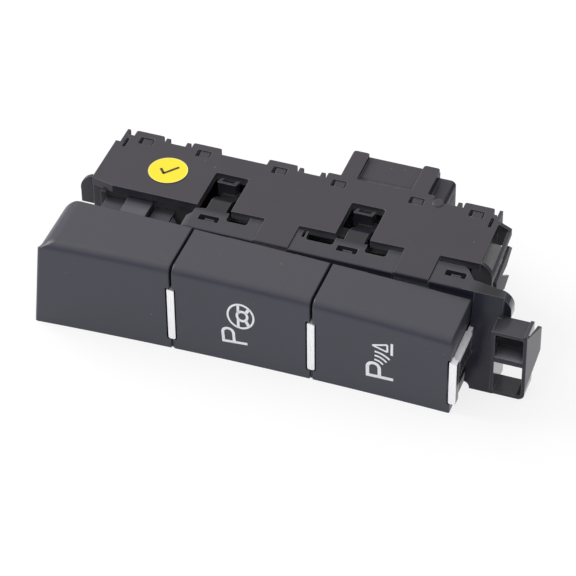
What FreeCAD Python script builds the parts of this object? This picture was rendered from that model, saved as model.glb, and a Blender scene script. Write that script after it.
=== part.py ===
import FreeCAD, Part
import math
import os

# A console switch strip for a car: one blank position and two parking keys on a clip-on frame,
# in front of a snap-together housing with the circuit board and its connector.
# X runs along the strip from the blank to the clip, Y from the key faces to the connector, Z up.
# Sizes are in millimetres. X is counted from the gap between the blank and the first key,
# Y from the front of the strip, Z from the surface it lies on. The last step moves the origin
# to the middle of the underside.

# Key strip
key_pitch = 24.0
key_count = 2
key_gap = 0.4
blank_width = 24.0
strip_height = 17.4
crown_x = -22.0
crown_radius = 1350.0
bow_front_y = 0.45
bow_x = 26.0
bow_radius = 757.0
blank_back_y = 11.05
key_back_y = 10.8
end_lean = 1.6
end_top_radius = 3.0
end_front_radius = 0.5
end_back_radius = 4.5
last_key_inset = 0.2
ridge_radius = 1.5
cap_edge_radius = 0.22
face_wall = 1.7
top_wall = 1.4
floor_wall = 1.1
side_wall = 2.1
strip_lift = 0.05
key_travel = 0.5

# Bright trims between the caps
trim_width = 1.25
trim_offset = 0.03
trim_proud = 0.12
trim_foot = 2.2
trim_top_drop = 4.5
trim_depth = 1.5
trim_end_radius = 0.35
trim_slot_gap_left = 0.32
trim_slot_gap_right = 0.16
trim_slot_gap_end = 0.3
wing_thickness = 0.7
wing_width = 1.1
wing_back_y = 8.6
wing_drop = 0.4
trim_notch = 0.55
tail_width = 0.7
tail_insert = 1.0

# Front frame
frame_front_y = 11.4
frame_wall = 1.5
frame_foot = 0.3
frame_left_x = -19.0
frame_right_inset = 1.1
deck_drop = 0.2
deck_thickness = 1.4
deck_edge_radius = 0.3
deck_back_y = 16.7
deck_gap = 0.1
tongue_width = 5.9
tongue_shift = 1.1
deck_left_x = -2.5
deck_corner_radius = 1.2
ear_taper = 1.7
ear_side_y = 14.1
window_width = 3.5
window_front_y = 13.75
window_back_y = 15.15
window_corner_radius = 0.25
window_from_gap = 1.3
ear_window_inset = 3.1
notch_front_y = 14.7
notch_corner_radius = 0.6
notch_left_width = 4.7
notch_right_width = 4.4
notch_clear_of_arm = 1.3
key_slot_width = 0.5
shelf_drop = 2.7
shelf_thickness = 1.2
shelf_fingers = ((-18.0, 3.9, 0.0), (-14.1, 4.45, 1.1), (-9.3, 3.4, -0.05))
shelf_back_y = 17.6

# Spring latch arms of the frame
arm_width = 3.4
arm_from_gap = 1.7
arm_thickness = 1.1
arm_flat_y = 19.4
arm_end_y = 21.6
arm_dip = 1.2
arm_low_drop = 2.5
catch_front_y = 24.1
catch_back_y = 25.3
catch_drop = 0.3
catch_wall = 0.5
catch_shift = -1.0
catch_hook = 0.6

# End flange and side clip of the frame
flange_inset = 0.15
flange_foot_y = 6.9
flange_thickness = 1.4
flange_notch = 1.0
strip_end_reach = 6.1
strip_end_back_y = 13.3
strip_end_radius = 2.6
end_wall_width = 0.7
clip_reach = 4.2
clip_width = 5.9
clip_front_y = 7.0
clip_depth = 4.1
clip_drop = 3.5
clip_wall = 0.6
clip_corner_radius = 1.2
clip_bar_foot = 6.9
clip_bar_height = 1.0
clip_pocket_depth = 3.4
clip_rib_height = 0.35
leg_reach = 1.3
leg_thickness = 0.65
leg_slot = 0.45
leg_side_rise = 1.5
leg_foot = 1.8
leg_front_step = 1.2
leg_back_gap = 0.4
stay_front_y = 3.3
stay_foot = 5.6
stay_width = 0.6
stay_rib_top = 6.8
stay_rib_height = 0.6
stay_rib_reach = 0.22

# Rear cover and its connector socket
cover_drop = 0.4
cover_thickness = 1.5
cover_left_x = -20.9
cover_right_inset = 1.25
cover_front_y = 17.0
cover_back_y = 30.6
tab_reach = 1.45
tab_width = 5.1
tab_corner_radius = 0.35
tab_shift = 0.425
tab_shares = (-0.43163, -0.27864, -0.07761, 0.07761, 0.27864, 0.43163)
tab_window_width = 2.5
tab_window_depth = 1.8
tab_window_sink = 1.3
tab_window_margin = 0.05
side_slot_width = 0.6
side_slot_length = 2.5
side_slot_inset = 1.8
cutout_width = 5.9
cutout_from_gap = 1.25
cutout_back_y = 25.9
cutout_corner_radius = 0.5
socket_inset = 10.55
socket_side = 3.92
socket_back_y = 39.1
socket_height = 13.0
socket_wall = 1.5
socket_rib_width = 2.8
socket_rib_height = 0.8
socket_step_width = 2.8
socket_step_drop = 2.0
socket_corner_radius = 0.9
socket_bulkhead = 1.8
socket_key_width = 2.0
socket_key_height = 1.0
socket_boss_radius = 0.9
socket_boss_rise = 0.2
socket_boss_inset = 0.45

# Housing base
base_left_x = -23.1
base_right_reach = 0.85
base_front_y = 18.0
base_wall = 1.2
base_body_inset = 0.15
base_floor = 1.2
cheek_drop = 5.8
shoulder_height = 3.4
cheek_thickness = 0.7
gusset_back_y = 23.0
lip_width = 0.55
lip_height = 1.3
lip_rise = 2.1
lip_back_y = 29.2
corner_step_y = 28.4
front_wall_y = 17.8
front_wall_right_x = -2.9
bridge_front_y = 13.4
bridge_back_y = 16.4
bridge_thickness = 3.1
bridge_gap = 0.1
bridge_left_x = -2.2
bridge_end_room = 0.2
bridge_end_post_width = 0.95
bridge_post_width = 1.7
lug_width = 1.65
lug_drop = 0.2
lug_depth = 1.3
lug_shift = 0.12
frame_lug_width = 1.6
frame_lug_drop = 0.5
frame_lug_depth = 1.0
guide_rib_thickness = 0.65
guide_rib_reach = 1.3
guide_rib_gap = 0.45
thin_rib_from_tab = 2.5
thin_rib_thickness = 0.35
thin_rib_reach = 2.7
end_rib_thickness = 0.5
end_rib_reach = 1.45
left_step = 1.4
right_step = 0.9
side_rail_front_y = 21.1
side_rail_length = 8.9
side_rail_thickness = 0.5
side_rail_height = 1.1
side_rail_drop = 7.2
side_rail_rise = 1.5
cheek_post_x = -18.6
cheek_post_size = 0.95
cheek_post_drop = 4.8
cheek_post_front_y = 16.9
board_guide = 0.8
skid_width = 2.0

# Key sliders, light guides and domes
slider_front_y = 6.0
slider_plate = 1.4
slider_side_room = 0.5
slider_margin = 0.8
slider_foot = 2.2
slider_drop = 5.8
slider_corner_radius = 0.8
slider_window_edge = 0.7
slider_window_clearance = 1.1
stem_spacing = 0.22083
stem_share = 0.175
stem_corner_radius = 0.5
stem_wall = 1.1
stem_clearance = 0.1
stem_nose = 0.4
stem_nose_length = 0.9
sleeve_share = 0.041667
sleeve_head_room = 1.3
sleeve_foot_room = 1.5
sleeve_back_y = 16.0
peg_radius = 1.0
peg_length = 2.6
peg_inset = 1.5
boss_wall = 0.9
guide_share = 0.166667
guide_clearance = 0.3
guide_front_y = 3.6
guide_back_y = 18.4
guide_flange = 0.7
guide_flange_thickness = 0.8
dome_height = 2.4
dome_web = 0.8
mat_margin = 0.1
mat_edge = 0.4
dome_head_radius = 2.0
dome_foot_share = 0.125
dome_wall = 0.45
dome_head_length = 0.9
dome_core_radius = 1.3
pill_thickness = 0.3
press_gap = 0.05

# Circuit board and what it carries
board_front_y = 20.5
board_thickness = 1.6
board_foot = 1.8
board_head_room = 3.5
board_end_gap = 0.2
pin_columns = 5
pin_rows = 2
pin_pitch = 2.54
pin_size = 0.64
pin_drop = 7.2
pin_tip_y = 34.8
header_depth = 2.5
header_margin = 1.3
led_size = 2.0
led_depth = 1.0
chip_width = 5.0
chip_height = 4.4
chip_depth = 1.5
chip_lead_count = 7
chip_lead_pitch = 0.65
chip_lead_reach = 0.9
chip_x = 4.0
passive_length = 1.6
passive_width = 0.8
passive_depth = 0.6
passive_pitch = 2.2
capacitor_count = 4
resistor_count = 6
passive_z = 3.6
capacitor_x = -12.0
resistor_inset = 14.4

# Legs that hold the blank
blank_leg_offset = 4.6
blank_leg_thickness = 1.6
blank_leg_height = 5.0
blank_leg_barb = 0.4
blank_leg_end_y = 14.3

# Round label on the cover
label_x = -9.5
label_y = 23.6
label_diameter = 6.9
label_thickness = 0.12

# Places that follow from the sizes above
end_x = key_count * key_pitch
frame_right_x = end_x - frame_right_inset
ear_right_x = frame_right_x
ear_back_x = ear_right_x - ear_taper
ear_window_x = ear_right_x - ear_window_inset
tongue_from_gap = key_pitch / 2 + tongue_shift
flange_left_x = end_x - flange_inset
strip_end_x = end_x + strip_end_reach
clip_left_x = end_x + clip_reach
cover_right_x = end_x - cover_right_inset
cover_length = cover_right_x - cover_left_x
tab_centre_x = (cover_left_x + cover_right_x) / 2 + tab_shift
tab_offsets = [share * cover_length for share in tab_shares]
base_right_x = end_x + base_right_reach
stem_offset = stem_spacing * key_pitch
stem_width = stem_share * key_pitch
sleeve_wall = sleeve_share * key_pitch
guide_width = guide_share * key_pitch
dome_foot_radius = dome_foot_share * key_pitch
sleeve_right_x = end_x - key_pitch / 2 + stem_offset + stem_width / 2 + stem_clearance + sleeve_wall
bridge_right_x = sleeve_right_x + bridge_end_room + bridge_end_post_width
cover_top = strip_height - cover_drop
deck_top = cover_top - deck_drop
shelf_top = deck_top - shelf_drop
arm_low_top = deck_top - arm_low_drop
catch_top = deck_top - catch_drop
clip_height = deck_top - clip_drop
cheek_foot = cover_top - cheek_drop
cheek_post_foot = cover_top - cheek_post_drop
socket_width = (pin_columns - 1) * pin_pitch + 2 * socket_side
mat_width = 2 * (stem_offset + dome_foot_radius + mat_margin)
slider_width = key_pitch - key_gap - 2 * (side_wall + slider_side_room)
peg_offset_x = slider_width / 2 - peg_radius - slider_margin
blank_left_x = -key_gap / 2 - blank_width
strip_right_x = end_x - key_gap / 2 - last_key_inset
gap_x = [index * key_pitch for index in range(key_count + 1)]
key_centre_x = [gap_x[index] + key_pitch / 2 for index in range(key_count)]
blank_centre_x = (blank_left_x - key_gap / 2) / 2
clip_right_x = clip_left_x + clip_width
clip_back_y = clip_front_y + clip_depth
leg_right_x = clip_right_x + leg_reach
deck_foot = deck_top - deck_thickness
cover_foot = cover_top - cover_thickness
socket_foot = cover_top - socket_height
socket_left_x = cover_right_x - socket_inset - socket_width
socket_right_x = socket_left_x + socket_width
thin_rib_x = tab_centre_x + tab_offsets[-1] - tab_width / 2 - thin_rib_from_tab
socket_top = cover_top - socket_rib_height
socket_centre_x = socket_left_x + (socket_width - socket_step_width) / 2
base_body_left_x = cover_left_x + base_body_inset
base_body_right_x = cover_right_x - base_body_inset
base_top = cover_foot
bridge_top = deck_foot - bridge_gap
bridge_foot = bridge_top - bridge_thickness
sleeve_top = bridge_foot - sleeve_head_room
sleeve_foot = base_floor + sleeve_foot_room
stem_z = (sleeve_top + sleeve_foot) / 2
stem_height = sleeve_top - sleeve_foot - 2 * (sleeve_wall + stem_clearance)
guide_height = stem_height - 2 * guide_clearance
slider_height = strip_height - slider_drop - slider_foot
peg_offset_z = slider_height / 2 - peg_inset
board_height = cover_foot - board_head_room - board_foot
pin_z = cover_top - pin_drop
chip_part_z = board_foot + board_height / 2 - 0.1
board_back_y = board_front_y + board_thickness
dome_top_y = board_front_y - dome_height
dome_core_length = dome_height - pill_thickness - key_travel - press_gap
stem_end_y = dome_top_y - press_gap
slider_back_y = slider_front_y + slider_plate
body_inside_left_x = base_body_left_x + base_wall
body_inside_right_x = base_body_right_x - base_wall
resistor_x = body_inside_right_x - resistor_inset


def front_y(x):
    """The bowed front of the strip at x, seen from above."""
    return bow_front_y - (bow_radius - math.sqrt(bow_radius ** 2 - (x - bow_x) ** 2))


def top_z(x):
    """The arched top of the strip at x, seen from the front."""
    return strip_height - (crown_radius - math.sqrt(crown_radius ** 2 - (x - crown_x) ** 2))


def block(x0, x1, y0, y1, z0, z1):
    """A plain block between two corners."""
    return Part.makeBox(x1 - x0, y1 - y0, z1 - z0, FreeCAD.Vector(x0, y0, z0))


def rounded_wire(points, place):
    """A closed outline; a point is (u, v) or (u, v, corner radius). place makes it a vector."""
    edges = []
    joints = []
    count = len(points)
    for index, point in enumerate(points):
        u, v = point[0], point[1]
        radius = point[2] if len(point) > 2 else 0.0
        if radius <= 0:
            joints.append(((u, v), None, (u, v)))
            continue
        before = points[index - 1]
        after = points[(index + 1) % count]
        in_u, in_v = before[0] - u, before[1] - v
        out_u, out_v = after[0] - u, after[1] - v
        in_length = math.hypot(in_u, in_v)
        out_length = math.hypot(out_u, out_v)
        in_u, in_v = in_u / in_length, in_v / in_length
        out_u, out_v = out_u / out_length, out_v / out_length
        half = math.acos(max(-1.0, min(1.0, in_u * out_u + in_v * out_v))) / 2
        reach = radius / math.tan(half)
        mid_u, mid_v = in_u + out_u, in_v + out_v
        mid_length = math.hypot(mid_u, mid_v)
        inward = (radius / math.sin(half) - radius) / mid_length
        start = (u + in_u * reach, v + in_v * reach)
        middle = (u + mid_u * inward, v + mid_v * inward)
        end = (u + out_u * reach, v + out_v * reach)
        joints.append((start, middle, end))
    for index, (start, middle, end) in enumerate(joints):
        if middle is not None:
            edges.append(Part.Arc(place(*start), place(*middle), place(*end)).toShape())
        following = joints[(index + 1) % count][0]
        if math.hypot(following[0] - end[0], following[1] - end[1]) > 1e-6:
            edges.append(Part.LineSegment(place(*end), place(*following)).toShape())
    return Part.Wire(edges)


def plan_prism(points, z0, z1):
    """An outline seen from above, raised from z0 to z1."""
    wire = rounded_wire(points, lambda u, v: FreeCAD.Vector(u, v, z0))
    return Part.Face(wire).extrude(FreeCAD.Vector(0, 0, z1 - z0))


def front_prism(points, y0, y1):
    """An outline in X and Z, run from y0 to y1."""
    wire = rounded_wire(points, lambda u, v: FreeCAD.Vector(u, y0, v))
    return Part.Face(wire).extrude(FreeCAD.Vector(0, y1 - y0, 0))


def side_prism(points, x0, x1):
    """An outline in Y and Z, run from x0 to x1."""
    wire = rounded_wire(points, lambda u, v: FreeCAD.Vector(x0, u, v))
    return Part.Face(wire).extrude(FreeCAD.Vector(x1 - x0, 0, 0))


def plan_rectangle(x0, x1, y0, y1, radius, z0, z1):
    """A block with its four upright edges rounded."""
    corners = [(x0, y0, radius), (x1, y0, radius), (x1, y1, radius), (x0, y1, radius)]
    return plan_prism(corners, z0, z1)


def front_rectangle(x0, x1, z0, z1, radius, y0, y1):
    """A block with the four edges along Y rounded."""
    corners = [(x0, z0, radius), (x1, z0, radius), (x1, z1, radius), (x0, z1, radius)]
    return front_prism(corners, y0, y1)


def rod(x, y0, y1, z, radius):
    """A round rod along Y."""
    return Part.makeCylinder(radius, y1 - y0, FreeCAD.Vector(x, y0, z), FreeCAD.Vector(0, 1, 0))


def joined(shapes):
    """Several overlapping shapes made one."""
    result = shapes[0]
    if len(shapes) > 1:
        result = result.multiFuse(shapes[1:])
    return result.removeSplitter()


def strip_plan(left_x, back_y, z):
    """The strip's outline from above at one height."""
    middle_x = (left_x + strip_right_x) / 2
    front_left = FreeCAD.Vector(left_x, front_y(left_x), z)
    middle = FreeCAD.Vector(middle_x, front_y(middle_x), z)
    front_right = FreeCAD.Vector(strip_right_x, front_y(strip_right_x), z)
    back_right = FreeCAD.Vector(strip_right_x, back_y, z)
    back_left = FreeCAD.Vector(left_x, back_y, z)
    return Part.Wire([
        Part.Arc(front_left, middle, front_right).toShape(),
        Part.LineSegment(front_right, back_right).toShape(),
        Part.LineSegment(back_right, back_left).toShape(),
        Part.LineSegment(back_left, front_left).toShape(),
    ])


def strip_arch(drop, left_x, right_x, y0, y1, foot):
    """Everything under the arched top, lowered by drop, between two ends."""
    start = FreeCAD.Vector(left_x, y0, top_z(left_x) - drop)
    middle_x = (left_x + right_x) / 2
    middle = FreeCAD.Vector(middle_x, y0, top_z(middle_x) - drop)
    end = FreeCAD.Vector(right_x, y0, top_z(right_x) - drop)
    foot_right = FreeCAD.Vector(right_x, y0, foot)
    foot_left = FreeCAD.Vector(left_x, y0, foot)
    wire = Part.Wire([
        Part.Arc(start, middle, end).toShape(),
        Part.LineSegment(end, foot_right).toShape(),
        Part.LineSegment(foot_right, foot_left).toShape(),
        Part.LineSegment(foot_left, start).toShape(),
    ])
    return Part.Face(wire).extrude(FreeCAD.Vector(0, y1 - y0, 0))


def ends(edge):
    """The two ends of an edge, the lower one first."""
    return sorted([vertex.Point for vertex in edge.Vertexes], key=lambda point: point.z)


def on_arch(point):
    """True on the arched top."""
    return abs(point.z - top_z(point.x)) < 0.01


def end_radii(body, deep):
    """The left end's edges by number with a radius at each end: wide on top, small at the front."""
    radii = []
    for number, edge in enumerate(body.Edges):
        low, high = ends(edge)
        outside = max(low.x, high.x) > blank_left_x + end_lean + 0.1
        at_back = min(low.y, high.y) > deep - 0.1
        at_foot = high.z < strip_lift + 0.1
        if outside or at_back or at_foot:
            continue
        first, last = end_front_radius, end_front_radius
        if on_arch(low):
            first, last = end_top_radius, end_top_radius
        elif on_arch(high):
            first, last = end_front_radius, end_top_radius
            if edge.Vertexes[0].Point.z > edge.Vertexes[-1].Point.z:
                first, last = last, first
        radii.append((number + 1, first, last))
    return radii


def rounded_with(shape, radii):
    """A fillet with its own radii on each edge."""
    document = FreeCAD.newDocument("strip")
    base = document.addObject("Part::Feature", "base")
    base.Shape = shape
    fillet = document.addObject("Part::Fillet", "fillet")
    fillet.Base = base
    fillet.Edges = radii
    document.recompute()
    result = fillet.Shape.copy()
    FreeCAD.closeDocument("strip")
    return result


def strip_body():
    """The three caps as one body, before the gaps are cut."""
    deep = blank_back_y + 5.0
    low = strip_plan(blank_left_x, deep, strip_lift)
    high = strip_plan(blank_left_x + end_lean, deep, strip_height + 1.0)
    walls = Part.makeLoft([low, high], True, True)
    margin = 3.0
    arch = strip_arch(0, blank_left_x - margin, strip_right_x + margin, -margin * 2,
                      deep + margin, 0.0)
    body = walls.common(arch)
    ridge = [edge for edge in body.Edges
             if all(on_arch(point) and point.y < blank_back_y / 2 for point in ends(edge))]
    body = body.makeFillet(ridge_radius, ridge)
    return rounded_with(body, end_radii(body, deep))


def cap_core(x0, x1, back_y):
    """The hollow behind a cap's face, open at the back."""
    face = front_y((x0 + x1) / 2) + face_wall
    return strip_arch(top_wall, x0, x1, face, back_y + 1.0, strip_lift + floor_wall)


def trim_slot(x, z_top):
    """The slot round one trim, cut out of the caps beside it."""
    left = x + trim_offset - trim_width / 2 - trim_slot_gap_left
    right = x + trim_offset + trim_width / 2 + trim_slot_gap_right
    return front_rectangle(left, right, trim_foot - trim_slot_gap_end, z_top + trim_slot_gap_end,
                           trim_end_radius, front_y(x) - 3.0, key_back_y + 2.0)


def trim_top(x):
    """Height of a trim's upper end."""
    return top_z(x) - trim_top_drop


def rounded_sides(cap, back_y, planes):
    """Breaks the sharp outer edges where a cap was cut from the strip."""
    edges = []
    for edge in cap.Edges:
        points = ends(edge)
        on_cut = any(all(abs(point.x - plane) < 0.001 for point in points) for plane in planes)
        outside = all(point.z > strip_lift + 0.5 for point in points)
        at_back = all(abs(point.y - back_y) < 0.001 for point in points)
        upright = points[-1].z - points[0].z > 5
        at_front = all(abs(point.y - front_y(point.x)) < 0.01 for point in points)
        if at_back:
            if all(on_arch(point) for point in points):
                edges.append(edge)
        elif on_cut and (outside or (at_front and upright)):
            edges.append(edge)
    return cap.makeFillet(cap_edge_radius, edges)


def cut_cap(body, x0, x1, back_y, planes):
    """One cap cut from the strip, with its cut edges broken and the trim slots taken out."""
    piece = body.common(block(x0, x1, -back_y, back_y, -1.0, strip_height + 1.0))
    piece = rounded_sides(piece, back_y, planes)
    for x in gap_x:
        piece = piece.cut(trim_slot(x, trim_top(x)))
    return piece


def make_blank_cap(body):
    right_x = -key_gap / 2
    cap = cut_cap(body, blank_left_x - 1.0, right_x, blank_back_y, [right_x])
    front = -blank_back_y
    corner = plan_prism([(blank_left_x, front), (right_x + 1.0, front), (right_x + 1.0, blank_back_y),
                         (blank_left_x, blank_back_y, end_back_radius)], -1.0, strip_height + 1.0)
    cap = cap.common(corner)
    inner_left = blank_left_x + end_top_radius + side_wall * 0.6
    core = cap_core(inner_left, right_x - side_wall, blank_back_y)
    cap = cap.cut(core)
    face = front_y(blank_centre_x) + face_wall
    legs = []
    for side in (-1, 1):
        x = blank_centre_x + side * blank_leg_offset
        outline = [
            (x - blank_leg_thickness / 2, face - 0.6),
            (x + blank_leg_thickness / 2, face - 0.6),
            (x + blank_leg_thickness / 2, frame_front_y + frame_wall),
            (x + blank_leg_thickness / 2 + blank_leg_barb, frame_front_y + frame_wall),
            (x + blank_leg_thickness / 2, blank_leg_end_y),
            (x - blank_leg_thickness / 2, blank_leg_end_y),
        ]
        legs.append(plan_prism(outline, stem_z - blank_leg_height / 2, stem_z + blank_leg_height / 2))
    return joined([cap] + legs)


def peg_places(centre_x):
    """Where the pegs of a slider sit, in X and Z."""
    middle_z = slider_foot + slider_height / 2
    places = []
    for side in (-1, 1):
        for level in (-1, 1):
            places.append((centre_x + side * peg_offset_x, middle_z + level * peg_offset_z))
    return places


def make_key_cap(body, index):
    left_x = gap_x[index] + key_gap / 2
    right_x = min(gap_x[index + 1] - key_gap / 2, strip_right_x)
    cap = cut_cap(body, left_x, right_x, key_back_y, [left_x, right_x])
    cap = cap.cut(cap_core(left_x + side_wall, right_x - side_wall, key_back_y))
    bosses = []
    for x, z in peg_places(key_centre_x[index]):
        bosses.append(rod(x, front_y(x) + face_wall / 2, slider_front_y, z, peg_radius + boss_wall))
    cap = joined([cap] + bosses)
    for x, z in peg_places(key_centre_x[index]):
        cap = cap.cut(rod(x, slider_front_y - peg_length, slider_front_y + 0.5, z, peg_radius))
    return cap


def make_key_slider(index):
    centre = key_centre_x[index]
    plate = front_rectangle(centre - slider_width / 2, centre + slider_width / 2, slider_foot,
                            slider_foot + slider_height, slider_corner_radius,
                            slider_front_y, slider_back_y)
    half_width = guide_width / 2 + slider_window_clearance
    half_height = slider_height / 2 - slider_window_edge
    plate = plate.cut(front_rectangle(centre - half_width, centre + half_width,
                                      stem_z - half_height, stem_z + half_height,
                                      slider_corner_radius, slider_front_y - 1, slider_back_y + 1))
    parts = [plate]
    for side in (-1, 1):
        x = centre + side * stem_offset
        half_width = stem_width / 2
        half_height = stem_height / 2
        stem = front_rectangle(x - half_width, x + half_width, stem_z - half_height,
                               stem_z + half_height, stem_corner_radius, slider_front_y, stem_end_y)
        inner_width = half_width - stem_wall
        inner_height = half_height - stem_wall
        hollow = front_rectangle(x - inner_width, x + inner_width, stem_z - inner_height,
                                 stem_z + inner_height, stem_corner_radius / 2,
                                 slider_front_y - 1.0, stem_end_y - stem_wall)
        nose_start = sleeve_back_y + press_gap
        edge = x + side * half_width
        nose = plan_prism([(edge - side * 0.5, nose_start),
                           (edge + side * stem_nose, nose_start),
                           (edge, nose_start + stem_nose_length),
                           (edge - side * 0.5, nose_start + stem_nose_length)],
                          stem_z - half_height / 2, stem_z + half_height / 2)
        parts.append(stem.cut(hollow))
        parts.append(nose)
    for x, z in peg_places(centre):
        parts.append(rod(x, slider_front_y - peg_length, slider_front_y + 0.2, z, peg_radius))
    return joined(parts)


def wing_place(x):
    """Left side, right side and top of the wing of the trim at x."""
    left = x + trim_offset - wing_width / 2
    return left, left + wing_width, trim_top(x) - wing_drop


def make_trim(index):
    """A bright bar in the face with a wing along its top that runs back into the frame."""
    x = gap_x[index]
    left = x + trim_offset - trim_width / 2
    right = left + trim_width
    top = trim_top(x)
    face = front_y(x) - trim_proud
    slope = (top_z(right) - top_z(left)) * 3.0
    bar = front_prism([(left, trim_foot, trim_end_radius), (right, trim_foot, trim_end_radius),
                       (right, top + slope), (left, top)], face, face + trim_depth)
    wing_left, wing_right, wing_top = wing_place(x)
    wing_front = face + trim_depth - 0.3
    wing = side_prism([(wing_front, wing_top - wing_thickness), (wing_back_y, wing_top - wing_thickness),
                       (wing_back_y, wing_top), (wing_front, wing_top)], wing_left, wing_right)
    tail_left = x + trim_offset - tail_width / 2
    tail = block(tail_left, tail_left + tail_width, wing_back_y - 0.5, frame_front_y + tail_insert,
                 wing_top - wing_thickness, wing_top)
    bar = bar.cut(side_prism([(face + trim_depth - trim_notch, top + 0.5),
                              (face + trim_depth + 0.1, top - trim_notch - 0.4),
                              (face + trim_depth + 0.5, top + 0.5)], wing_right - 0.6, right + 0.5))
    return joined([bar, wing, tail])


def deck_piece(x0, x1):
    """A flat part of the frame's top, with its front edge rounded."""
    return side_prism([(frame_front_y, deck_foot), (deck_back_y, deck_foot), (deck_back_y, deck_top),
                       (frame_front_y, deck_top, deck_edge_radius)], x0, x1)


def tongue_edges(index):
    """Both sides of the cover tongue behind the key of that number."""
    centre = gap_x[index] + tongue_from_gap
    return centre - tongue_width / 2, centre + tongue_width / 2


def arm_solid(centre):
    """A spring arm that dips under the cover and ends in an upright catch."""
    half = arm_width / 2
    under = deck_top - arm_thickness
    arm = side_prism([
        (deck_back_y - 1.0, under), (arm_flat_y, under, 2.0),
        (arm_end_y - 0.6, under - arm_dip, 1.0), (arm_end_y - 0.4, arm_low_top - arm_thickness, 0.4),
        (catch_back_y, arm_low_top - arm_thickness), (catch_back_y, arm_low_top),
        (arm_end_y, arm_low_top, 0.4), (arm_end_y, deck_top - arm_dip, 0.3),
        (arm_flat_y, deck_top, 2.0), (deck_back_y - 1.0, deck_top),
    ], centre - half, centre + half)
    catch_x = centre + catch_shift
    left = catch_x - half
    right = catch_x + half
    front = catch_front_y
    catch = plan_prism([
        (left, front, 0.2), (right, front, 0.2), (right + 0.3, catch_back_y),
        (right + 0.3 - catch_wall, catch_back_y), (right - catch_wall, front + catch_wall, 0.2),
        (left + catch_wall, front + catch_wall, 0.2), (left + 0.5 + catch_wall, catch_back_y),
        (left + 0.5, catch_back_y),
    ], arm_low_top - arm_thickness, catch_top)
    hook = side_prism([(catch_front_y, arm_low_top - arm_thickness - catch_hook),
                       (catch_back_y, arm_low_top - arm_thickness),
                       (catch_front_y, arm_low_top - arm_thickness)],
                      centre - half, centre + half)
    base = block(left + 0.5, right, catch_front_y, catch_back_y,
                 arm_low_top - arm_thickness, arm_low_top)
    return joined([arm, catch, hook, base])


def frame_deck():
    """The flat top parts of the frame between the cover's tongues, with their latch windows."""
    pieces = []
    edges = [deck_left_x]
    for index in range(key_count):
        low, high = tongue_edges(index)
        edges.append(low - deck_gap)
        edges.append(high + deck_gap)
    edges.append(ear_right_x)
    for index in range(0, len(edges), 2):
        pieces.append(deck_piece(edges[index], edges[index + 1]))
    window_x = [x + window_from_gap for x in gap_x[:key_count]] + [ear_window_x]
    cuts = []
    for x in window_x:
        cuts.append(plan_rectangle(x - window_width / 2, x + window_width / 2, window_front_y,
                                   window_back_y, window_corner_radius, deck_foot - 1, deck_top + 1))
    for index in range(key_count):
        arm_x = gap_x[index] + arm_from_gap
        right = arm_x + arm_width / 2 + notch_clear_of_arm - 0.6
        cuts.append(plan_rectangle(right, right + notch_right_width - 0.7, notch_front_y,
                                   deck_back_y + 2.0, notch_corner_radius, deck_foot - 1, deck_top + 1))
        if index > 0:
            left = arm_x - arm_width / 2 - notch_clear_of_arm
            cuts.append(plan_rectangle(left - notch_left_width, left, notch_front_y,
                                       deck_back_y + 2.0, notch_corner_radius,
                                       deck_foot - 1, deck_top + 1))
            slot_x = edges[2 * index] + 1.0
            cuts.append(block(slot_x, slot_x + key_slot_width, notch_front_y + 0.4,
                              deck_back_y + 1.0, deck_foot - 1, deck_top + 1))
    left_corner = plan_prism([(deck_left_x - 1, notch_front_y - 0.5), (deck_left_x + 0.1, notch_front_y - 0.5),
                              (deck_left_x + 0.6, notch_front_y + 0.3), (deck_left_x + 0.8, notch_front_y + 1.6),
                              (deck_left_x + 2.5, deck_back_y), (deck_left_x + 2.5, deck_back_y + 1),
                              (deck_left_x - 1, deck_back_y + 1)], deck_foot - 1, deck_top + 1)
    cuts.append(left_corner)
    ear_corner = plan_prism([(ear_right_x + 1, ear_side_y), (ear_right_x + 1, deck_back_y + 1),
                             (ear_back_x - 0.5, deck_back_y + 1), (ear_back_x - 0.5, deck_back_y),
                             (ear_back_x + 0.2, deck_back_y - 0.4), (ear_right_x, ear_side_y)],
                            deck_foot - 1, deck_top + 1)
    cuts.append(ear_corner)
    for index in range(key_count):
        low, high = tongue_edges(index)
        cuts.append(block(low - deck_gap, high + deck_gap, frame_front_y - 1.0,
                          frame_front_y + frame_wall + 1.0, cover_foot - 0.1, deck_top + 1.0))
    deck = joined(pieces + [front_wall()])
    return deck.cut(joined(cuts))


def front_wall():
    """The upright wall behind the caps, lower behind the blank."""
    back = frame_front_y + frame_wall
    high = front_rectangle(deck_left_x, frame_right_x, frame_foot, deck_foot + 0.5, 0.0,
                           frame_front_y, back)
    low = front_rectangle(frame_left_x, deck_left_x + 1.0, frame_foot, shelf_top - 0.15, 0.0,
                          frame_front_y, back)
    return joined([high, low])


def frame_shelf():
    """Three flat fingers behind the blank, the middle one raised."""
    fingers = []
    for left, width, rise in shelf_fingers:
        right = left + width
        fingers.append(plan_prism([(left, frame_front_y + 0.5), (right, frame_front_y + 0.5),
                                   (right, shelf_back_y, 0.3), (left, shelf_back_y, 0.3)],
                                  shelf_top - shelf_thickness, shelf_top + rise))
    return fingers


def frame_sleeves():
    """Guide sleeves for the stems of both sliders."""
    outer = []
    inner = []
    for centre in key_centre_x:
        for side in (-1, 1):
            x = centre + side * stem_offset
            half_width = stem_width / 2 + stem_clearance
            half_height = stem_height / 2 + stem_clearance
            outer.append(front_rectangle(x - half_width - sleeve_wall, x + half_width + sleeve_wall,
                                         stem_z - half_height - sleeve_wall,
                                         stem_z + half_height + sleeve_wall, stem_corner_radius,
                                         frame_front_y + 0.2, sleeve_back_y))
            inner.append(front_rectangle(x - half_width, x + half_width, stem_z - half_height,
                                         stem_z + half_height, stem_corner_radius,
                                         frame_front_y - 1.0, sleeve_back_y + 1.0))
    return outer, inner


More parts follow.
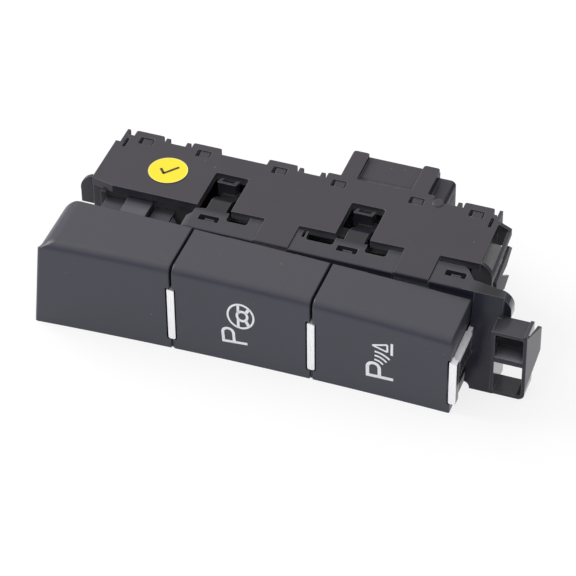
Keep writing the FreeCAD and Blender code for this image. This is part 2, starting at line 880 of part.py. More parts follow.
def end_flange():
    """The leaning end wall beside the last key and the end of the frame's top that bends down."""
    lean = side_prism([(frame_front_y, deck_top), (flange_foot_y, 0.0),
                       (flange_foot_y + flange_thickness, 0.0),
                       (frame_front_y + flange_thickness, deck_top)], flange_left_x, clip_left_x + clip_wall)
    corner = rod(flange_left_x, flange_foot_y - 1.0, frame_front_y, 0.0, flange_notch)
    lean = lean.cut(corner)
    start = ear_right_x - 1.0
    top = plan_prism([(start, frame_front_y + 0.4), (clip_left_x - 1.0, frame_front_y + 0.4),
                      (clip_left_x - 1.0, strip_end_back_y), (ear_right_x, ear_side_y),
                      (start, ear_side_y)], deck_foot, deck_top)
    back = front_rectangle(frame_right_x - 0.5, clip_left_x + clip_wall, frame_foot, deck_foot + 0.5,
                           0.0, frame_front_y, frame_front_y + frame_wall)
    inner_radius = strip_end_radius - end_wall_width
    bend = front_prism([(start, deck_foot), (strip_end_x - end_wall_width, deck_foot, inner_radius),
                        (strip_end_x - end_wall_width, clip_height - 0.3), (strip_end_x, clip_height - 0.3),
                        (strip_end_x, deck_top, strip_end_radius), (start, deck_top)],
                       frame_front_y, strip_end_back_y)
    corner_web = front_prism([(clip_left_x, clip_height - 0.3), (strip_end_x - 0.1, clip_height - 0.3),
                              (strip_end_x - 0.1, deck_top - 0.1, strip_end_radius - 0.1),
                              (clip_left_x, deck_top - 0.1)], frame_front_y, frame_front_y + frame_wall)
    return [lean, top, back, bend, corner_web] + trim_stays()


def trim_stays():
    """The plates of the frame that carry the wings of the trims, each with a small rib."""
    stays = []
    for x in gap_x:
        wing_left, wing_right, wing_top = wing_place(x)
        left = x + trim_offset - stay_width / 2
        right = left + stay_width
        stays.append(block(left, right, stay_front_y, frame_front_y + 0.5, stay_foot,
                           wing_top - wing_thickness))
        stays.append(block(left, right + stay_rib_reach, stay_front_y, frame_front_y + 0.5,
                           stay_rib_top - stay_rib_height, stay_rib_top))
    return stays


def side_clip():
    """The hollow clip at the end of the frame, with its flexing leg."""
    front, back = clip_front_y, clip_back_y
    left, right = clip_left_x, clip_right_x
    radius = clip_corner_radius
    shell = front_prism([(left, 0.0), (right, 0.0, radius), (right, clip_height), (left, clip_height)],
                        front, back)
    pocket_foot = clip_bar_foot + clip_bar_height
    upper = front_rectangle(left + clip_wall, right - clip_wall, pocket_foot,
                            clip_height - clip_wall, 0.2, front - 1.0, front + clip_pocket_depth)
    lower = front_prism([(left + clip_wall, clip_wall), (right - clip_wall, clip_wall, radius - clip_wall / 2),
                         (right - clip_wall, clip_bar_foot), (left + clip_wall, clip_bar_foot)],
                        front - 1.0, back + 1.0)
    shell = shell.cut(upper).cut(lower)
    rib = block(right - clip_wall, right, front, back, clip_height - 0.1, clip_height + clip_rib_height)
    wall_on = block(left, left + clip_wall, back - 0.5, frame_front_y + frame_wall, 0.0, clip_height)
    leg_back = back - leg_back_gap
    side = side_prism([(front, clip_height), (leg_back, clip_height),
                       (leg_back, clip_bar_foot + leg_side_rise),
                       (back - leg_front_step, clip_bar_foot), (front, leg_foot)],
                      right - clip_wall, leg_right_x + 0.5)
    path = plan_prism([(right - clip_wall / 2, front), (right, front), (leg_right_x, leg_back),
                       (leg_right_x - leg_thickness, leg_back),
                       (right + leg_slot * 0.3, front + 0.9), (right - clip_wall / 2, front + 0.9)],
                      0.0, clip_height)
    leg = side.common(path)
    return [shell, rib, wall_on, leg]


def make_front_frame():
    outer, inner = frame_sleeves()
    solids = [frame_deck()] + frame_shelf() + outer + end_flange() + side_clip()
    for x in gap_x[:key_count]:
        solids.append(arm_solid(x + arm_from_gap))
    frame = joined(solids)
    cuts = list(inner)
    for centre in key_centre_x:
        half_width = guide_width / 2 + 0.05
        half_height = guide_height / 2 + 0.05
        cuts.append(block(centre - half_width, centre + half_width, frame_front_y - 1.0,
                          frame_front_y + frame_wall + 1.0, stem_z - half_height, stem_z + half_height))
    for x in gap_x:
        wing_left, wing_right, wing_top = wing_place(x)
        left = x + trim_offset - tail_width / 2
        cuts.append(block(left - 0.05, left + tail_width + 0.05, wing_back_y,
                          frame_front_y + tail_insert + 0.1, wing_top - wing_thickness, wing_top + 0.05))
    for side in (-1, 1):
        x = blank_centre_x + side * blank_leg_offset
        cuts.append(block(x - blank_leg_thickness / 2 - 0.05,
                          x + blank_leg_thickness / 2 + 0.05, frame_front_y - 1.0,
                          frame_front_y + frame_wall + 0.2,
                          stem_z - blank_leg_height / 2 - 0.05, stem_z + blank_leg_height / 2 + 0.05))
    return frame.cut(joined_tools(cuts))


def joined_tools(shapes):
    """Cutting shapes as one compound; they may lie apart."""
    return Part.makeCompound(shapes)


def cover_plate():
    """The flat plate with its tabs and tongues, before the openings are cut."""
    left_step_x = cover_left_x + left_step
    right_step_x = cover_right_x - right_step
    plate = plan_prism([(cover_left_x, cover_front_y + 0.9), (cover_left_x + 4.0, cover_front_y),
                        (deck_left_x, cover_front_y), (cover_right_x, cover_front_y + 1.0),
                        (cover_right_x, corner_step_y), (right_step_x, corner_step_y),
                        (right_step_x, cover_back_y), (left_step_x, cover_back_y),
                        (left_step_x, corner_step_y), (cover_left_x, corner_step_y)], cover_foot, cover_top)
    pieces = [plate]
    tab_back = cover_back_y + tab_reach
    for offset in tab_offsets:
        x = tab_centre_x + offset
        pieces.append(plan_prism([(x - tab_width / 2, cover_back_y - 1.0), (x + tab_width / 2, cover_back_y - 1.0),
                                  (x + tab_width / 2, tab_back, tab_corner_radius),
                                  (x - tab_width / 2, tab_back, tab_corner_radius)], cover_foot, cover_top))
    for index in range(key_count):
        low, high = tongue_edges(index)
        pieces.append(side_prism([(frame_front_y + 0.1, cover_foot), (cover_front_y + 1.5, cover_foot),
                                  (cover_front_y + 1.5, cover_top),
                                  (frame_front_y + 0.1, cover_top, deck_edge_radius)], low, high))
    return pieces


def window_places():
    """Left side, right side, front and back of each tab window."""
    back = cover_back_y + tab_window_margin
    places = []
    for offset in tab_offsets:
        x = tab_centre_x + offset
        places.append((x - tab_window_width / 2, x + tab_window_width / 2, back - tab_window_depth, back))
    return places


def lug_in(window):
    """The lug that fills most of a tab window."""
    left, right, front, back = window
    centre = (left + right) / 2 + lug_shift
    return side_prism([(back - 0.1 - lug_depth, base_top - 0.5), (back - 0.1, base_top - 0.5),
                       (back - 0.1, cover_top - lug_drop), (back - 0.1 - lug_depth, cover_top - lug_drop * 2)],
                      centre - lug_width / 2, centre + lug_width / 2)


def is_over_socket(x):
    return socket_left_x - 1.0 < x < socket_right_x


def cover_openings():
    """Latch cutouts, tab windows and end slots of the cover."""
    cuts = []
    for x in gap_x[:key_count]:
        centre = x + cutout_from_gap
        cuts.append(plan_prism([(centre - cutout_width / 2, cover_front_y - 1.0),
                                (centre + cutout_width / 2, cover_front_y - 1.0),
                                (centre + cutout_width / 2, cutout_back_y, cutout_corner_radius),
                                (centre - cutout_width / 2, cutout_back_y, cutout_corner_radius)],
                               cover_foot - 1.0, cover_top + 1.0))
    for window in window_places():
        left, right, front, back = window
        over_socket = is_over_socket((left + right) / 2)
        foot = cover_top - tab_window_sink if over_socket else cover_foot - 1.0
        cut = plan_rectangle(left, right, front, back, 0.2, foot, cover_top + 1.0)
        if over_socket:
            cut = cut.cut(lug_in(window))
        cuts.append(cut)
    slot_back = cover_back_y - 0.9
    for x in (cover_left_x + side_slot_inset, cover_right_x - side_slot_inset + 0.5):
        cuts.append(plan_rectangle(x - side_slot_width / 2, x + side_slot_width / 2,
                                   slot_back - side_slot_length, slot_back, 0.2,
                                   cover_foot - 1.0, cover_top + 1.0))
    return cuts


def pin_places():
    """Where the connector pins stand, in X and Z."""
    places = []
    for column in range(pin_columns):
        for row in range(pin_rows):
            x = socket_centre_x + (column - (pin_columns - 1) / 2) * pin_pitch
            z = pin_z + (row - (pin_rows - 1) / 2) * pin_pitch
            places.append((x, z))
    return places


def socket_shell():
    """The connector socket behind the cover, open at the back."""
    left, right = socket_left_x, socket_right_x
    step_x = right - socket_step_width
    start = cover_back_y - socket_bulkhead
    body = front_prism([(left, socket_foot, socket_corner_radius),
                        (right, socket_foot, socket_corner_radius),
                        (right, cover_top - socket_step_drop, socket_corner_radius),
                        (step_x, cover_top - socket_step_drop),
                        (step_x, socket_top), (left, socket_top)], start, socket_back_y)
    ribs = []
    for rib_left in (left, step_x - socket_rib_width):
        ribs.append(plan_prism([(rib_left, cover_back_y - 1.0), (rib_left + socket_rib_width, cover_back_y - 1.0),
                                (rib_left + socket_rib_width, socket_back_y, 0.5),
                                (rib_left, socket_back_y, 0.5)], socket_top - 0.5, cover_top))
    ramp = side_prism([(cover_back_y - 1.0, socket_top - 0.3), (cover_back_y + 3.0, socket_top - 0.3),
                       (cover_back_y + 3.0, socket_top), (cover_back_y + 1.2, cover_top),
                       (cover_back_y - 1.0, cover_top)], left, step_x)
    boss_foot = cover_foot - 1.5
    boss = Part.makeCylinder(socket_boss_radius, cover_top + socket_boss_rise - boss_foot,
                             FreeCAD.Vector(right - socket_boss_inset, cover_back_y - 0.25, boss_foot))
    inside = front_prism([(left + socket_wall, socket_foot + socket_wall, 0.4),
                          (right - socket_wall, socket_foot + socket_wall, 0.4),
                          (right - socket_wall, cover_top - socket_step_drop - socket_wall, 0.4),
                          (left + socket_wall, cover_top - socket_step_drop - socket_wall, 0.4)],
                         cover_back_y, socket_back_y + 1.0)
    key_rib = block(socket_centre_x - socket_key_width / 2, socket_centre_x + socket_key_width / 2,
                    cover_back_y - 0.5, socket_back_y - 1.0, socket_foot + socket_wall - 0.5,
                    socket_foot + socket_wall + socket_key_height)
    shell = joined([body, ramp, boss] + ribs)
    shell = joined([shell.cut(inside), key_rib])
    for x, z in pin_places():
        half = pin_size / 2 + 0.03
        shell = shell.cut(block(x - half, x + half, start - 1.0, cover_back_y + 1.0, z - half, z + half))
    return shell


def make_rear_cover():
    cover = joined(cover_plate() + [socket_shell()])
    return cover.cut(joined_tools(cover_openings()))


def end_wall(side):
    """One end wall of the base with a thin rounded cheek at its front; side is -1 or 1."""
    if side < 0:
        edge_x, outer_x = cover_left_x - 0.1, base_left_x
        body_x, inside_x = base_body_left_x, body_inside_left_x
    else:
        edge_x, outer_x = cover_right_x + 0.1, base_right_x
        body_x, inside_x = base_body_right_x, body_inside_right_x
    low_x, high_x = sorted((body_x, inside_x))
    wall = block(low_x, high_x, base_front_y, cover_back_y, 0.0, base_top)
    top = cover_top
    shoulder = top - shoulder_height
    bend_x = edge_x + (outer_x - edge_x) * math.sqrt(0.5)
    bend_z = shoulder + (top - shoulder) * math.sqrt(0.5)
    y0 = base_front_y

    def place(x, z):
        return FreeCAD.Vector(x, y0, z)

    bend = Part.Arc(place(edge_x, top), place(bend_x, bend_z), place(outer_x, shoulder)).toShape()
    corners = [place(outer_x, shoulder), place(outer_x, cheek_foot), place(inside_x, cheek_foot),
               place(inside_x, base_top), place(edge_x, base_top), place(edge_x, top)]
    edges = [bend]
    for start, end in zip(corners[:-1], corners[1:]):
        edges.append(Part.LineSegment(start, end).toShape())
    cheek = Part.Face(Part.Wire(edges)).extrude(FreeCAD.Vector(0, cheek_thickness, 0))
    return joined([wall, cheek])


def base_lugs():
    """Small wedges that snap into the windows of the cover's tabs and of the frame."""
    lugs = []
    for window in window_places():
        if not is_over_socket((window[0] + window[1]) / 2):
            lugs.append(lug_in(window))
    for x in [gap + window_from_gap for gap in gap_x[:key_count]] + [ear_window_x]:
        y0 = window_front_y + 0.1
        lugs.append(side_prism([(y0, bridge_top - 0.5), (y0 + frame_lug_depth, bridge_top - 0.5),
                                (y0 + frame_lug_depth, deck_top - frame_lug_drop),
                                (y0 + 0.2, deck_top - frame_lug_drop * 2)],
                               x - frame_lug_width / 2, x + frame_lug_width / 2))
    return lugs


def base_ribs():
    """Guide ribs on the back wall beside the tabs, a thin rib and the two end ribs."""
    ribs = []
    for number, offset in enumerate(tab_offsets):
        side = 1 if number % 2 == 0 else -1
        edge = tab_centre_x + offset + side * (tab_width / 2 + guide_rib_gap)
        if is_over_socket(edge):
            continue
        low, high = sorted((edge, edge + side * guide_rib_thickness))
        ribs.append(back_rib(low, high, guide_rib_reach, cover_top, 0.3))
    ribs.append(back_rib(thin_rib_x - thin_rib_thickness / 2, thin_rib_x + thin_rib_thickness / 2,
                         thin_rib_reach, cover_top, 0.0))
    for x in (cover_left_x + left_step - 0.1 - end_rib_thickness, cover_right_x - right_step + 0.1):
        ribs.append(side_prism([(cover_back_y - 0.8, 3.0), (cover_back_y + end_rib_reach, 4.0),
                                (cover_back_y + end_rib_reach, cover_top, 0.2),
                                (corner_step_y + 0.1, cover_top), (corner_step_y + 0.1, cover_foot - 1.0),
                                (cover_back_y - 0.8, cover_foot - 1.0)], x, x + end_rib_thickness))
    return ribs


def back_rib(left, right, reach, top, radius):
    """An upright rib on the back wall that clears the cover's edge."""
    return side_prism([(cover_back_y - 0.3, 3.0), (cover_back_y + reach, 4.0),
                       (cover_back_y + reach, top, radius), (cover_back_y + 0.08, top),
                       (cover_back_y + 0.08, cover_foot - 0.5), (cover_back_y - 0.3, cover_foot - 0.5)],
                      left, right)


def base_bridge():
    """The bar under the frame's deck that carries its latch lugs, and its posts."""
    bar = block(bridge_left_x, bridge_right_x, bridge_front_y, bridge_back_y, bridge_foot, bridge_top)
    places = [(bridge_left_x, bridge_post_width)]
    for x in gap_x[1:key_count]:
        places.append((x - bridge_post_width / 2, bridge_post_width))
    places.append((bridge_right_x - bridge_end_post_width, bridge_end_post_width))
    posts = []
    for left, width in places:
        posts.append(block(left, left + width, bridge_front_y, bridge_back_y, 0.0, bridge_foot + 0.5))
    return [bar] + posts


def side_details():
    """The lip and rails on the right end, the gusset and the small post at the left cheek."""
    low = cover_top - shoulder_height - 1.0
    lip = side_prism([(base_front_y, low), (lip_back_y, low + lip_rise),
                      (lip_back_y, low + lip_rise + lip_height), (base_front_y, low + lip_height)],
                     base_right_x - lip_width, base_right_x)
    wall_left = cover_right_x - right_step + 0.1
    closing = front_prism([(wall_left, low), (base_right_x - lip_width, low), (base_right_x, low + lip_rise),
                           (base_right_x, low + lip_rise + lip_height), (cover_right_x + 0.2, cover_top - 0.1),
                           (wall_left, cover_top - 0.1)], corner_step_y + 0.1, lip_back_y)
    rail_y = side_rail_front_y
    rail_z = cover_top - side_rail_drop
    rail_back = rail_y + side_rail_length
    rail_left = base_right_x - side_rail_thickness
    rise = side_rail_rise
    rail = side_prism([(rail_y, rail_z), (rail_back - 2 * rise, rail_z), (rail_back, rail_z + rise),
                       (rail_back - rise, rail_z + 2 * rise), (rail_back - 3 * rise, rail_z + 1.4 * rise),
                       (rail_y, rail_z + side_rail_height)], rail_left, base_right_x)
    bracket = side_prism([(rail_y + 0.5 * rise, rail_z - rise), (rail_y + 3.4 * rise, rail_z - 3 * rise),
                          (rail_y + 5.2 * rise, rail_z - 2.4 * rise), (rail_y + 2.8 * rise, rail_z - 0.5 * rise),
                          (rail_y + 0.6 * rise, rail_z + 0.4 * rise)], rail_left, base_right_x)
    web = block(base_body_right_x - 0.3, base_right_x, rail_y, rail_y + 1.4, rail_z - 1.6, rail_z + 0.8)
    gusset = plan_prism([(base_left_x, base_front_y + 0.2), (base_body_left_x + 0.3, base_front_y + 0.2),
                         (base_body_left_x + 0.3, gusset_back_y), (cover_left_x - 0.1, gusset_back_y)],
                        low, low + 1.2)
    post = block(cheek_post_x - cheek_post_size / 2, cheek_post_x + cheek_post_size / 2, cheek_post_front_y,
                 front_wall_y + 0.2, cheek_post_foot, cover_foot - 0.15)
    return [lip, closing, rail, bracket, web, gusset, post]


def make_housing_base():
    left, right = base_body_left_x, base_body_right_x
    floor = block(left, right, bridge_front_y, cover_back_y, 0.0, base_floor)
    back = block(left, right, cover_back_y - base_wall, cover_back_y, 0.0, base_top)
    front = block(left, front_wall_right_x, front_wall_y, front_wall_y + base_wall, 0.0, base_top)
    solids = [floor, back, front, end_wall(-1), end_wall(1)]
    solids += base_bridge() + base_ribs() + side_details() + base_lugs()
    for x, sign in ((body_inside_left_x, 1), (body_inside_right_x, -1)):
        for y in (board_front_y - board_guide - 0.05, board_back_y + 0.05):
            low, high = sorted((x - sign * 0.3, x + sign * board_guide))
            solids.append(block(low, high, y, y + board_guide, 0.5, board_foot + board_height))
    solids.append(block(left, right, board_front_y - board_guide - 0.05,
                        board_back_y + board_guide + 0.05, base_floor - 0.3, board_foot))
    base = joined(solids)
    opening_right_x = socket_right_x + socket_boss_radius - socket_boss_inset + 0.1
    opening = block(socket_left_x - 0.3, opening_right_x, cover_back_y - socket_bulkhead - 0.3,
                    cover_back_y + 1.0, socket_foot - 0.3, cover_top + 2.0)
    return base.cut(opening)


def make_circuit_board():
    left = body_inside_left_x + board_end_gap
    right = body_inside_right_x - board_end_gap
    board = front_rectangle(left, right, board_foot, board_foot + board_height, 0.4,
                            board_front_y, board_back_y)
    for x, z in pin_places():
        half = pin_size / 2 + 0.03
        board = board.cut(block(x - half, x + half, board_front_y - 1, board_back_y + 1, z - half, z + half))
    return board


def make_pin_header():
    width = (pin_columns - 1) * pin_pitch / 2 + header_margin
    height = (pin_rows - 1) * pin_pitch / 2 + header_margin
    body = front_rectangle(socket_centre_x - width, socket_centre_x + width, pin_z - height,
                           pin_z + height, 0.3, board_back_y, board_back_y + header_depth)
    for x, z in pin_places():
        half = pin_size / 2
        body = body.cut(block(x - half, x + half, board_back_y - 1, board_back_y + header_depth + 1,
                              z - half, z + half))
    return body


def make_connector_pins():
    """Square pins with tapered tips, each a solid of its own."""
    half = pin_size / 2
    taper = 0.7
    pins = []
    for x, z in pin_places():
        shaft = block(x - half, x + half, board_front_y, pin_tip_y - taper, z - half, z + half)
        wide = Part.makePolygon([FreeCAD.Vector(x + a * half, pin_tip_y - taper, z + b * half)
                                 for a, b in ((-1, -1), (1, -1), (1, 1), (-1, 1), (-1, -1))])
        fine = Part.makePolygon([FreeCAD.Vector(x + a * half * 0.4, pin_tip_y, z + b * half * 0.4)
                                 for a, b in ((-1, -1), (1, -1), (1, 1), (-1, 1), (-1, -1))])
        tip = Part.makeLoft([wide, fine], True, True)
        pins.append(joined([shaft, tip]))
    return Part.makeCompound(pins)


def make_light_guide(index):
    """A clear bar that carries light from the board to the symbol."""
    x = key_centre_x[index]
    half_width = guide_width / 2
    half_height = guide_height / 2
    bar = front_rectangle(x - half_width, x + half_width, stem_z - half_height, stem_z + half_height,
                          0.4, guide_front_y, guide_back_y)
    flange = front_rectangle(x - half_width - guide_flange, x + half_width + guide_flange,
                             stem_z - half_height - guide_flange, stem_z + half_height + guide_flange,
                             0.5, frame_front_y - guide_flange_thickness, frame_front_y)
    return joined([bar, flange])


def dome_places(index):
    return [key_centre_x[index] - stem_offset, key_centre_x[index] + stem_offset]


def make_dome_mat(index):
    """A rubber mat with two collapsing domes, one under each stem."""
    centre = key_centre_x[index]
    web_front = board_front_y - dome_web
    mat = front_rectangle(centre - mat_width / 2, centre + mat_width / 2, board_foot + mat_edge,
                          board_foot + board_height - mat_edge, slider_corner_radius,
                          web_front, board_front_y)
    half_led = led_size / 2 + 0.4
    mat = mat.cut(block(centre - half_led, centre + half_led, web_front - 1, board_front_y + 1,
                        stem_z - half_led, stem_z + half_led))
    core_end = dome_top_y + dome_core_length
    bend = dome_top_y + dome_head_length
    for x in dome_places(index):
        mat = mat.cut(rod(x, web_front - 1, board_front_y + 1, stem_z, dome_foot_radius - dome_wall))
        profile = [
            (0.0, dome_top_y), (dome_head_radius, dome_top_y), (dome_head_radius, bend),
            (dome_foot_radius, web_front), (dome_foot_radius, board_front_y),
            (dome_foot_radius - dome_wall, board_front_y),
            (dome_foot_radius - dome_wall, web_front + 0.2),
            (dome_head_radius - 0.3, bend + dome_wall), (dome_core_radius, bend + dome_wall),
            (dome_core_radius, core_end), (0.0, core_end),
        ]
        points = [FreeCAD.Vector(x + r, y, stem_z) for r, y in profile]
        face = Part.Face(Part.makePolygon(points + points[:1]))
        dome = face.revolve(FreeCAD.Vector(x, 0, stem_z), FreeCAD.Vector(0, 1, 0), 360)
        mat = joined([mat, dome])
    return mat


def make_contact_pills(index):
    start = dome_top_y + dome_core_length
    pills = [rod(x, start, start + pill_thickness, stem_z, dome_core_radius) for x in dome_places(index)]
    return Part.makeCompound(pills)


def make_symbol_leds():
    leds = []
    half = led_size / 2
    for x in key_centre_x:
        leds.append(front_rectangle(x - half, x + half, stem_z - half, stem_z + half, 0.2,
                                    board_front_y - led_depth, board_front_y))
    return Part.makeCompound(leds)


def make_control_chip():
    """A small flat chip on the back of the board with leads along two sides."""
    back = board_back_y
    half_width = chip_width / 2
    half_height = chip_height / 2
    body = front_rectangle(chip_x - half_width, chip_x + half_width, chip_part_z - half_height,
                           chip_part_z + half_height, 0.2, back + 0.1, back + 0.1 + chip_depth)
    solids = [body]
    for number in range(chip_lead_count):
        x = chip_x + (number - (chip_lead_count - 1) / 2) * chip_lead_pitch
        for side in (-1, 1):
            edge = chip_part_z + side * half_height
            low, high = sorted((edge - side * 0.2, edge + side * chip_lead_reach))
            solids.append(side_prism([(back, high if side > 0 else low),
                                      (back, edge + side * 0.4), (back + 0.7, edge + side * 0.3),
                                      (back + 0.7, edge - side * 0.2), (back + 0.95, edge - side * 0.2),
                                      (back + 0.95, edge + side * 0.5), (back + 0.25, edge + side * 0.6),
                                      (back + 0.25, high if side > 0 else low)],
                                     x - 0.12, x + 0.12))
    return joined(solids)


def passive_row(start_x, count):
    """A row of small parts soldered to the back of the board."""
    parts = []
    for number in range(count):
        x = start_x + number * passive_pitch
        parts.append(front_rectangle(x - passive_width / 2, x + passive_width / 2,
                                     passive_z - passive_length / 2, passive_z + passive_length / 2,
                                     0.1, board_back_y, board_back_y + passive_depth))
    return Part.makeCompound(parts)


def make_round_label():
    return Part.makeCylinder(label_diameter / 2, label_thickness,
                             FreeCAD.Vector(label_x, label_y, cover_top))


def make_nodes():
    strip = strip_body()
    nodes = {
        "rear_cover": make_rear_cover(),
        "housing_base": make_housing_base(),
        "front_frame": make_front_frame(),
        "blank_cap": make_blank_cap(strip),
        "steering_key_cap": make_key_cap(strip, 0),
        "sensor_key_cap": make_key_cap(strip, 1),
        "circuit_board": make_circuit_board(),
        "pin_header": make_pin_header(),
        "connector_pins": make_connector_pins(),
        "symbol_leds": make_symbol_leds(),
        "control_chip": make_control_chip(),
        "capacitors": passive_row(capacitor_x, capacitor_count),
        "resistors": passive_row(resistor_x, resistor_count),
        "round_label": make_round_label(),
    }
    for index in range(key_count + 1):
        nodes["trim_strip_%d" % (index + 1)] = make_trim(index)
    for index in range(key_count):
        number = index + 1
        nodes["key_slider_%d" % number] = make_key_slider(index)
        nodes["light_guide_%d" % number] = make_light_guide(index)
        nodes["dome_mat_%d" % number] = make_dome_mat(index)
        nodes["contact_pills_%d" % number] = make_contact_pills(index)
    return nodes


def move_origin(nodes):
    """Puts the origin at the middle of the underside."""
    bounds = Part.makeCompound(list(nodes.values())).optimalBoundingBox(True, False)
    shift = FreeCAD.Vector(-bounds.Center.x, -bounds.Center.y, -bounds.ZMin)
    for shape in nodes.values():
        shape.translate(shift)
    return shift


nodes = make_nodes()
shift = move_origin(nodes)
os.makedirs("parts", exist_ok=True)
for name, shape in nodes.items():
    shape.exportStep(os.path.join("parts", name + ".step"))
print("origin moved by %.3f %.3f %.3f" % (shift.x, shift.y, shift.z))
for name, shape in nodes.items():
    box = shape.optimalBoundingBox(True, False)
    print("%-18s solids %2d valid %s volume %8.2f  x %.2f %.2f  y %.2f %.2f  z %.2f %.2f" % (
        name, len(shape.Solids), shape.isValid(), shape.Volume,
        box.XMin, box.XMax, box.YMin, box.YMax, box.ZMin, box.ZMax))
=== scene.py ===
import math

import bmesh
import bpy
from mathutils import Matrix, Vector


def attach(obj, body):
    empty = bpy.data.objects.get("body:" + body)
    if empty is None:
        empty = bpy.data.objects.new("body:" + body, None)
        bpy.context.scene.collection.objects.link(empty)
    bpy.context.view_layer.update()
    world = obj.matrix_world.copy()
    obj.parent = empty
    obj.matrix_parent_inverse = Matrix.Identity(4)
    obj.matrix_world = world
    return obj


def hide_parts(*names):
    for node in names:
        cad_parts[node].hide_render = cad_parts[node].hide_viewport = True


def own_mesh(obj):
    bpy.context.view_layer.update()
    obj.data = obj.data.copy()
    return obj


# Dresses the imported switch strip: moulded plastics, bright trims, printed symbols, the round
# label and the board's parts, on a pale floor under soft studio light.
# Places are counted in millimetres from the gap between the blank and the first key, from the
# front of the strip and from the floor, as on the drawing of the part; place() turns them into
# the frame's metres. Colours are written without alpha.

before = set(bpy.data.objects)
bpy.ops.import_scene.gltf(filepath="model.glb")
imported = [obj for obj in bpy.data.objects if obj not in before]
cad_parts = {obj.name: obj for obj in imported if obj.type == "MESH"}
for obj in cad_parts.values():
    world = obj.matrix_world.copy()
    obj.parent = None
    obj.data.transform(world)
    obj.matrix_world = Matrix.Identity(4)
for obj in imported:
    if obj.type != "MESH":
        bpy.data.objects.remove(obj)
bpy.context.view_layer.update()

MM = 0.001
ORIGIN = Vector((17.6, 18.959, 0.0))

# Face of the strip, the print on it, and where the trims' bars end behind it
BOW_FRONT_Y = 0.45
BOW_X = 26.0
BOW_RADIUS = 757.0
PRINT_THICKNESS = 0.03
PRINT_SINK = 0.02
BAR_BACK_Y = 1.35
BAR_FADE = 0.1

# Dark pieces in the gaps between the caps under the bars, standing in for the shade in the gaps
GAP_X = (0.0, 24.0)
GAP_FILL_WIDTH = 0.28
GAP_FILL_Y = (0.32, 1.3)
GAP_FILL_Z = (0.02, 2.4)

# The sloping side of the third finger: its edge and its foot, and the cut at its back corner
SLOPE_X = (-5.85, -4.75)
SLOPE_Y = (12.0, 16.4)
SLOPE_Z = (13.90, 13.35)
SLOPE_THICKNESS = 0.6
SLOPE_CUT = 1.1
SLOPE_BEVEL = 0.15

# Places on the frame
FINGERS_END_X = -1.5
ARMS_START_Y = 15.6
FRAME_BEND_X = 50.2
CLIP_START_X = 52.5
POCKET_FLOOR_Z = 7.9

# Painted top light on those places, where 1 is the painted light on the rest of the frame
FINGER_TOP_LIGHT = 1.85
ARM_TOP_LIGHT = 0.4
BEND_TOP_LIGHT = 0.3
BEND_REACH = (1.2, 3.5)
POCKET_TOP_LIGHT = 8.0
POCKET_FLOOR_BAND = 0.4
TOP_LIGHT_FADE = 1.0

# Gloss of a moulding in the open and its share between close walls; blue in the grey painted deep
# in its hollows
PLAIN_GLOSS = 0.5
HOLLOW_GLOSS = 0.85
HOLLOW_GREY_BLUE = 1.06

# Steering key: the letter on its side
STEERING_P_HEAD = (8.75, 4.25)
STEERING_P_LENGTH = 4.35
STEERING_P_BOWL = (2.35, 3.05)
STEERING_P_STROKE = 0.5
STEERING_P_TILT = 3.5

# Steering key: the wheel, its hub and its spokes
WHEEL_CENTRE = (12.02, 10.25)
WHEEL_RADII = (2.38, 2.68)
WHEEL_RIM = 0.34
WHEEL_CHORD_X = 11.6
WHEEL_CHORD = 0.46
WHEEL_CHORD_START = 0.6
WHEEL_HUB = (12.28, 10.33)
WHEEL_HUB_RADII = (0.66, 1.1)
WHEEL_HUB_STRETCH = 1.12
SPOKE_FROM_HUB = (0.55, 0.7)
SPOKE_FROM_CENTRE = (1.45, 1.9)
SPOKE_WIDTH = 0.56

# Sensor key: the letter, the waves, the cone and the kerb
SENSOR_P_HEAD = (33.4, 4.1)
SENSOR_P_LENGTH = 4.65
SENSOR_P_BOWL = (2.6, 3.05)
SENSOR_P_STROKE = 0.58
SENSOR_P_TILT = 1.5
WAVE_CENTRE = (34.79, 5.86)
WAVE_RADII = (1.87, 2.75, 3.6)
WAVE_STROKE = 0.33
WAVE_ANGLES = ((1.0, 52.0), (1.0, 49.0), (1.0, 46.0))
CONE_POINTS = ((34.42, 10.7), (36.95, 11.45), (36.98, 9.92))
CONE_STROKE = 0.32
KERB_CENTRE = (37.72, 10.65)
KERB_SIZE = (0.43, 2.5)

# Round label, how far from its edge its rim and its dark ring of painted edge shade start and are
# full, and the tick
COVER_TOP = 17.0
LABEL_CENTRE = (-9.5, 23.6)
LABEL_RADIUS = 3.42
LABEL_THICKNESS = 0.1
LABEL_RIM = (0.3, 0.15)
LABEL_EDGE_SHADE = (0.12, 0.04)
TICK_STROKES = (((-1.35, 0.15), (-0.35, -1.05)), ((-0.5, -1.05), (1.5, 1.35)))
TICK_WIDTH = 0.46
TICK_THICKNESS = 0.02
TICK_SINK = 0.001

# Camera, fitted to the picture
CAMERA_PLACE = (142.6, -331.7, 328.4)
CAMERA_AZIMUTH = 20.23
CAMERA_ELEVATION = 41.19
CAMERA_ROLL = -0.64
CAMERA_LENS = 184.98

# Studio, in metres: light from the left and a little from the front, and the floor with its
# reach, its drop under the part and the share of white that the camera and gloss see in it
LEFT_LIGHT = {"position": (-0.8, 0.08, 0.62), "target": (0.0, 0.0, 0.01), "size": (0.8, 0.6),
              "power": 8.6, "colour": (1.0, 0.97, 0.95)}
FRONT_LIGHT = {"position": (-0.24, -0.32, 0.1), "target": (-0.03, 0.0, 0.01),
               "size": (0.16, 0.1), "power": 0.07, "colour": (0.88, 0.92, 1.0)}
HORIZON_COLOUR = (0.2, 0.21, 0.28)
SKY_COLOUR = (0.89, 0.88, 0.9)
WHITE = (1, 1, 1)
FLOOR_COLOUR = (0.93, 0.93, 0.94)
FLOOR_REACH = 3.0
FLOOR_DROP = 0.00001
FLOOR_WHITE = 0.8

# Kinds of socket of the shared effects
VECTOR = "NodeSocketVector"
COLOUR = "NodeSocketColor"
NUMBER = "NodeSocketFloat"

